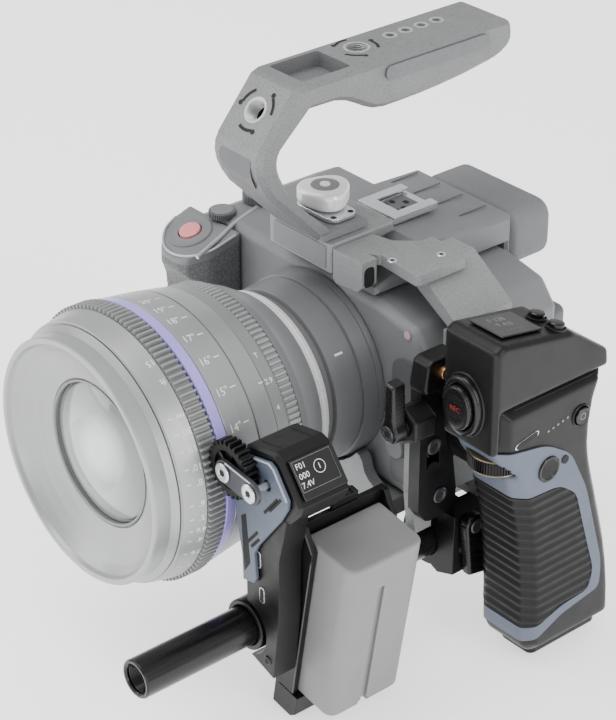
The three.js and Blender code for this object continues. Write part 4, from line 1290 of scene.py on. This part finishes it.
def build_motor_display():
    tilt = math.atan2(15.2, 12)
    out = Vector((math.sin(tilt), 0, math.cos(tilt)))
    down = Vector((math.cos(tilt), 0, -math.sin(tilt)))
    back = Vector((0, 1, 0))
    crisp("motor_display", "screen", 0.25, 2)
    centre = Vector((86.25, -109.2, 68.6)) + out * 0.46
    place = on_plane(centre, back, -down)
    for tag, text, size, across, up in (
        ("channel", "F01", 3.0, -6.0, 4.4), ("value", "000", 3.0, -6.0, 0.9), (
            "volts", "7.4V", 3.0, -5.8, -2.3,
        ),
    ):
        lettering(f"display_{tag}", text, size, shifted(place, across, up), "lit", "motor")
    lettering("display_motor_number", "1", 3.0, shifted(place, 1.2, 1.9), "lit", "motor")
    ring_centre = place(1.2, 1.9)
    add_piece(
        "display_ring", lathe([(0, 2.2), (0, 2.42), (0.03, 2.42), (0.03, 2.2)], facing(ring_centre, out), 40),
        "lit", "motor", weighted=False,
    )
    frame_line = [place(u, v) for u, v in ((-9, -4.4), (7.6, -4.4), (7.6, 6.6), (-9, 6.6), (-9, -4.4))]
    add_piece("display_border", tube(frame_line, 0.09, 6), "print_grey", "motor", weighted=False)


def shifted(place, across, up):
    return lambda x, y: place(x + across, y + up)


# ------------------------------------------------------------ battery
def build_battery():
    thick, wide, high = BATTERY_THICK, BATTERY_WIDE, BATTERY_HIGH
    section = [(0.0, 0.0), (thick, 0.0), (thick, wide), (0.0, wide)]
    body = prism(rounded(section, [1.6, 5.0, 5.0, 1.6], 6), -high, 0, LEAN_FRAME, 0)
    upright = LEAN_FRAME.to_3x3() @ Vector((0, 0, 1))
    rims = [
        e for e in body.edges
        if e.calc_face_angle(0) > math.radians(60)
        and abs((e.verts[0].co - e.verts[1].co).normalized().dot(upright)) < 0.5
    ]
    bmesh.ops.bevel(
        body, geom=rims, offset=1.5, offset_type="OFFSET", segments=4, profile=0.5, affect="EDGES",
        clamp_overlap=True,
    )
    middle = wide * 0.46
    groove = prism(
        box_outline(thick - 1.1, thick + 2, middle - 1.4, middle + 1.4), -high - 2, -13, LEAN_FRAME, 0,
    )
    notch = prism(
        box_outline(thick - 4, thick + 2, middle - 2.4, middle + 2.4), -high - 2, -high + 2.2, LEAN_FRAME, 0,
    )
    body = combined(metres(body), metres(groove), "DIFFERENCE")
    body = combined(body, metres(notch), "DIFFERENCE")
    add_piece("battery_shell", body, "battery", "battery", ["battery"], sharp=50, scale=1)
    crisp("battery_plate", "black", 0.8, 3)
    crisp("battery_latch", "black", 0.5, 2)
    for k in range(4):
        y = 13.6 + 2.6 * k
        add_piece(
            f"latch_ridge_{k + 1}",
            prism(box_outline(-4.4, -0.8, y, y + 1.0, 0.3), 9.1, 9.7, LEAN_FRAME, 0.2), "black_satin",
            "battery_latch",
        )
    lip = [
        LEAN_FRAME @ Vector((u, -2.6, w))
        for u, w in ((-1.8, 4.9), (0.9, 4.8), (3.4, 1.7), (7.0, -2.6), (7.1, -8), (7.1, -40), (7.1, -70))
    ]
    add_piece("battery_tray_lip", tube(lip, 0.35, 10), "gunmetal", "motor")


# ------------------------------------------------------------ handgrip
def inside_ribs(co):
    return 0.42 * math.sin(2 * math.pi * co.z / (3.9 * MM))


def build_grip():
    outer = GRIP_OUTER
    head = remeshed(soften_edges(node_mesh("grip_head"), 2.6 * MM, 1), 0.7, 8)
    add_piece(
        "grip_head_shell", head, "charcoal", "handgrip", ["grip_head"], sharp=60, weighted=False, scale=1,
    )
    body = remeshed(node_mesh("grip_body"), 0.8, 8)
    pocket = lathe(
        [
            (-1.9, 0), (-1.9, 3.65), (4, 3.65), (4, 0),
        ], facing((outer, -5.4, 61.4), (1, 0, 0)), 48, closed=False,
    )
    body = combined(body, metres(pocket), "DIFFERENCE")
    add_piece(
        "grip_body_shell", body, "charcoal", "handgrip", ["grip_body"], sharp=60, weighted=False, scale=1,
    )

    band_outer = rounded([
        (-60, 59), (-40, 59), (-23, 56), (-10, 47.6), (-0.5, 29), (11, -9.5), (10.5, -21), (-9.4, -24.5),
        (-25, -31.5), (-60, -33),
    ], [0, 1, 5, 5, 5, 6, 3, 3, 2, 0], 6)
    band_inner = rounded([
        (-60, 37.5), (-34, 36.6), (-15, 35.6), (-5.7, 28.5), (1.8, 4), (6.8, -11), (4.4, -19.4), (
            -9.7, -20.6,
        ),
        (-25.4, -25.4), (-60, -26.5),
    ], [0, 1, 4, 4, 5, 5, 3, 3, 2, 0], 6)
    inner_cut = metres(prism(band_inner, GRIP_INNER - 8, outer + 8, ALONG["x"], 0))
    band_cut = metres(prism(band_outer, GRIP_INNER - 8, outer + 8, ALONG["x"], 0))
    skin = remeshed(node_mesh("grip_body"), 0.8, 8, inflate=0.75)
    band = combined(skin, band_cut, "INTERSECT")
    band = combined(band, inner_cut.copy(), "DIFFERENCE")
    add_piece(
        "grip_band_skin", band, "blue_grey", "handgrip", ["grip_band"], sharp=45, weighted=False, scale=1,
    )
    rubber_outline = inset_outline(band_inner, 0.35)
    rubber_cut = metres(prism(rubber_outline, GRIP_INNER - 8, outer + 8, ALONG["x"], 0))
    ribbed = remeshed(node_mesh("grip_body"), 0.8, 8, inflate=0.6)
    ribbed.normal_update()
    for vertex in ribbed.verts:
        vertex.co += vertex.normal * inside_ribs(vertex.co) * MM
    inner_cut.free()
    add_piece(
        "grip_rubber_skin", combined(ribbed, rubber_cut, "INTERSECT"), "rubber", "handgrip", ["grip_rubber"],
        sharp=60, weighted=False, scale=1,
    )
    crisp("bottom_cap", "black", 0.8, 3)
    build_grip_controls()


def inset_outline(points, amount):
    """Draws a closed outline in towards its middle by about amount."""
    centre = sum((Vector(p) for p in points), Vector((0, 0))) / len(points)
    result = []
    for p in points:
        offset = Vector(p) - centre
        result.append(tuple(centre + offset * max(0, 1 - amount / max(offset.length, 1e-6))))
    return result


def build_grip_controls():
    outer = GRIP_OUTER
    ring_x, ring_z = 95.0, 76.2
    ellipse = lambda a, b, n=64: [
        (ring_x + a * math.cos(2 * math.pi * k / n), ring_z + b * math.sin(2 * math.pi * k / n))
        for k in range(n)
    ]
    collar = loops_to_mesh([
        [Vector((u, y, v)) for u, v in ellipse(a, b)]
        for a, b, y in (
            (9.2, 11.8, -47.5), (9.4, 12.0, -49.6), (9.2, 11.8, -51.2), (8.8, 11.3, -51.9), (
                7.9, 10.0, -52.2,
            ), (7.3, 9.2, -52.0),
            (7.1, 8.9, -51.2), (7.1, 8.9, -49.8),
        )
    ], closed=False)
    add_piece("rec_collar", collar, "black_satin", "handgrip", ["rec_ring"], sharp=50)
    step = loops_to_mesh([
        [Vector((u, y, v)) for u, v in ellipse(a, b)]
        for a, b, y in (
            (10.1, 12.8, -47.6), (
                10.1, 12.8, -49.2,
            ), (9.8, 12.5, -49.7), (9.5, 12.1, -49.8), (9.4, 12.0, -48),
        )
    ], closed=False)
    add_piece("rec_bezel", step, "charcoal", "handgrip", sharp=50)
    cap = loops_to_mesh([
        *[[Vector((u, y, v)) for u, v in ellipse(a, b)] for a, b, y in (
            (6.8, 8.6, -51.4), (6.8, 8.6, -53.3), (6.5, 8.2, -53.9), (5.9, 7.5, -54.2), (4.0, 5.2, -54.1),
        )],
        [Vector((ring_x, -54.0, ring_z))],
    ], closed=False)
    add_piece("rec_button_cap", cap, "black_satin", "rec_button", ["rec_button"], sharp=50)
    lettering(
        "rec_word", "REC", 2.8, on_plane((ring_x, -54.26, ring_z), (1, 0, 0), (0, 0, 1)), "red_print",
        "rec_button",
    )

    slope = math.atan2(6.2, 34)
    normal = Vector((0, math.sin(slope), math.cos(slope)))
    along = Vector((0, math.cos(slope), -math.sin(slope)))
    crisp("grip_display", "screen", 0.25, 2)
    top_at = lambda x, y, lift: Vector((x, y, 104.2 - (y + 46) * math.tan(slope))) + normal * lift
    place = on_plane(top_at(96.5, -32.5, 1.22), along, (-1, 0, 0))
    for tag, text, size, across, up in (
        ("focus", "F 128", 3.6, -1.0, 4.0), ("zoom", "T 4.0", 3.6, -1.0, -0.2),
        ("bar", "- - - - -", 2.8, 0, -4.0),
    ):
        lettering(f"grip_display_{tag}", text, size, shifted(place, across, up), "print_grey", "handgrip")
    for i, x in enumerate((95, 104.5)):
        button = facing(top_at(x, -15.6, 0.9), normal)
        profile = [(0, 0), (0, 3), (1.2, 3), (1.6, 2.6), (1.75, 1.4), (1.6, 0)]
        add_piece(
            f"menu_cap_{i + 1}", lathe(profile, button, 36, closed=False), "black_satin",
            f"menu_button_{i + 1}", [f"menu_button_{i + 1}"],
        )
        collar_place = facing(top_at(x, -15.6, -0.6), normal)
        add_piece(
            f"menu_collar_{i + 1}",
            lathe([(0, 3.25), (1.1, 3.25), (1.4, 3.45), (1.2, 3.9), (0, 4.0)], collar_place, 36), "charcoal",
            "handgrip",
        )

    wheel = facing((97, -34.5, 46.9), (0, 0, 1))
    add_piece(
        "thumb_wheel_knurl", gear_mesh(64, 10.1, 10.6, 3, 0.6, 5.6, wheel, chamfer=0.2, shares=(0.38, 0.2)),
        "black", "thumb_wheel", ["thumb_wheel"], sharp=30,
    )
    for tag, lo, hi in (("low", 0.0, 0.62), ("high", 5.58, 6.2)):
        add_piece(
            f"thumb_wheel_edge_{tag}",
            lathe([(lo, 3), (lo, 10.2), ((lo + hi) / 2, 10.45), (hi, 10.2), (hi, 3)], wheel, 72),
            "pale_brass", "thumb_wheel",
        )

    side = lambda y, z, lift=0.0: Vector((outer + lift, y, z))
    place = facing(side(-21.5, 45.5, 0.25), (1, 0, 0))
    thread = [(-6, 4.9)]
    for k in range(8):
        thread += [(-5.6 + 0.75 * k, 3.9), (-5.25 + 0.75 * k, 4.4)]
    thread += [(0.95, 3.95), (1.15, 4.2), (1.2, 4.9), (0.9, 5.2)]
    add_piece(
        "grip_thread_insert", lathe([p for p in thread if p[0] >= -0.8 or p[0] == -6], place, 40),
        "black_satin", "handgrip", sharp=30,
    )
    # A dark disc inside the thread: painted shade for the hole's depth.
    add_piece(
        "grip_thread_dark", lathe([(0.6, 0), (0.6, 4.0), (0.95, 4.0), (0.95, 0)], place, 36, closed=False),
        "void", "handgrip",
    )
    # The pin hole is a small dark disc on the face: painted shade for its depth.
    pin = facing(side(-13.2, 46.2, 0.7), (1, 0, 0))
    add_piece(
        "grip_pin_hole", lathe([(0, 0), (0, 1.7), (0.45, 1.7), (0.45, 0)], pin, 24, closed=False), "void",
        "handgrip",
    )
    port = [(-38, 59.6), (-27.2, 62.0), (-27.0, 63.6), (-28.2, 64.0), (-37.8, 61.9), (-38.9, 60.6)]
    add_piece(
        "grip_port_rim", prism(rounded(port, 1.0), outer - 0.3, outer + 0.25, ALONG["x"], 0.1), "bright",
        "handgrip",
    )
    # The port opening is a thin dark plate: painted shade for its depth.
    add_piece(
        "grip_port_slot",
        prism(rounded(inset_outline(port, 0.55), 0.6), outer - 0.2, outer + 0.32, ALONG["x"], 0), "void",
        "handgrip", weighted=False,
    )
    power = facing((outer - 0.6, -5.4, 61.4), (1, 0, 0))
    profile = [(0, 0), (0, 3.4), (1.5, 3.4), (1.8, 3.1), (1.7, 2.2), (1.7, 0)]
    add_piece(
        "power_cap", lathe(profile, power, 36, closed=False), "black_satin", "power_button", ["power_button"],
    )
    add_piece(
        "power_symbol", lathe([(1.72, 1.1), (1.72, 1.4), (1.75, 1.4), (1.75, 1.1)], power, 28), "print_grey",
        "power_button", weighted=False,
    )
    add_piece(
        "power_collar", lathe([(-0.6, 3.7), (0.75, 3.7), (1.1, 3.95), (0.7, 4.5), (-0.6, 4.6)], power, 40),
        "charcoal", "handgrip",
    )
    for i in range(5):
        led = facing(side(-22 + 2.4 * i, 61.2 + 0.5 * i, -0.1), (1, 0, 0))
        add_piece(
            f"grip_led_{i + 1}",
            lathe([(0, 0), (0, 0.5), (0.22, 0.5), (0.28, 0.3), (0.28, 0)], led, 16, closed=False),
            "print_grey", "handgrip",
        )
    seam = [(outer - 0.05, -40, 76.85), (outer - 0.05, 0, 76.85)]
    add_piece("grip_seam", tube(seam, 0.16, 6), "void", "handgrip", weighted=False)


# ------------------------------------------------------------ build
def add_floor():
    low = CAD_BOX[0].z - 0.0006
    bm = bmesh.new()
    size = 6.0
    bm.faces.new([bm.verts.new((x * size, y * size, low)) for x, y in ((-1, -1), (1, -1), (1, 1), (-1, 1))])
    mesh = bpy.data.meshes.new("studio_floor")
    bm.to_mesh(mesh)
    bm.free()
    mesh.materials.append(floor_material())
    floor = bpy.data.objects.new("studio_floor", mesh)
    bpy.context.scene.collection.objects.link(floor)


add_camera()
add_studio()
add_floor()
build_lens()
build_camera()
build_cage()
build_handle()
build_bracket()
build_motor()
build_battery()
build_grip()
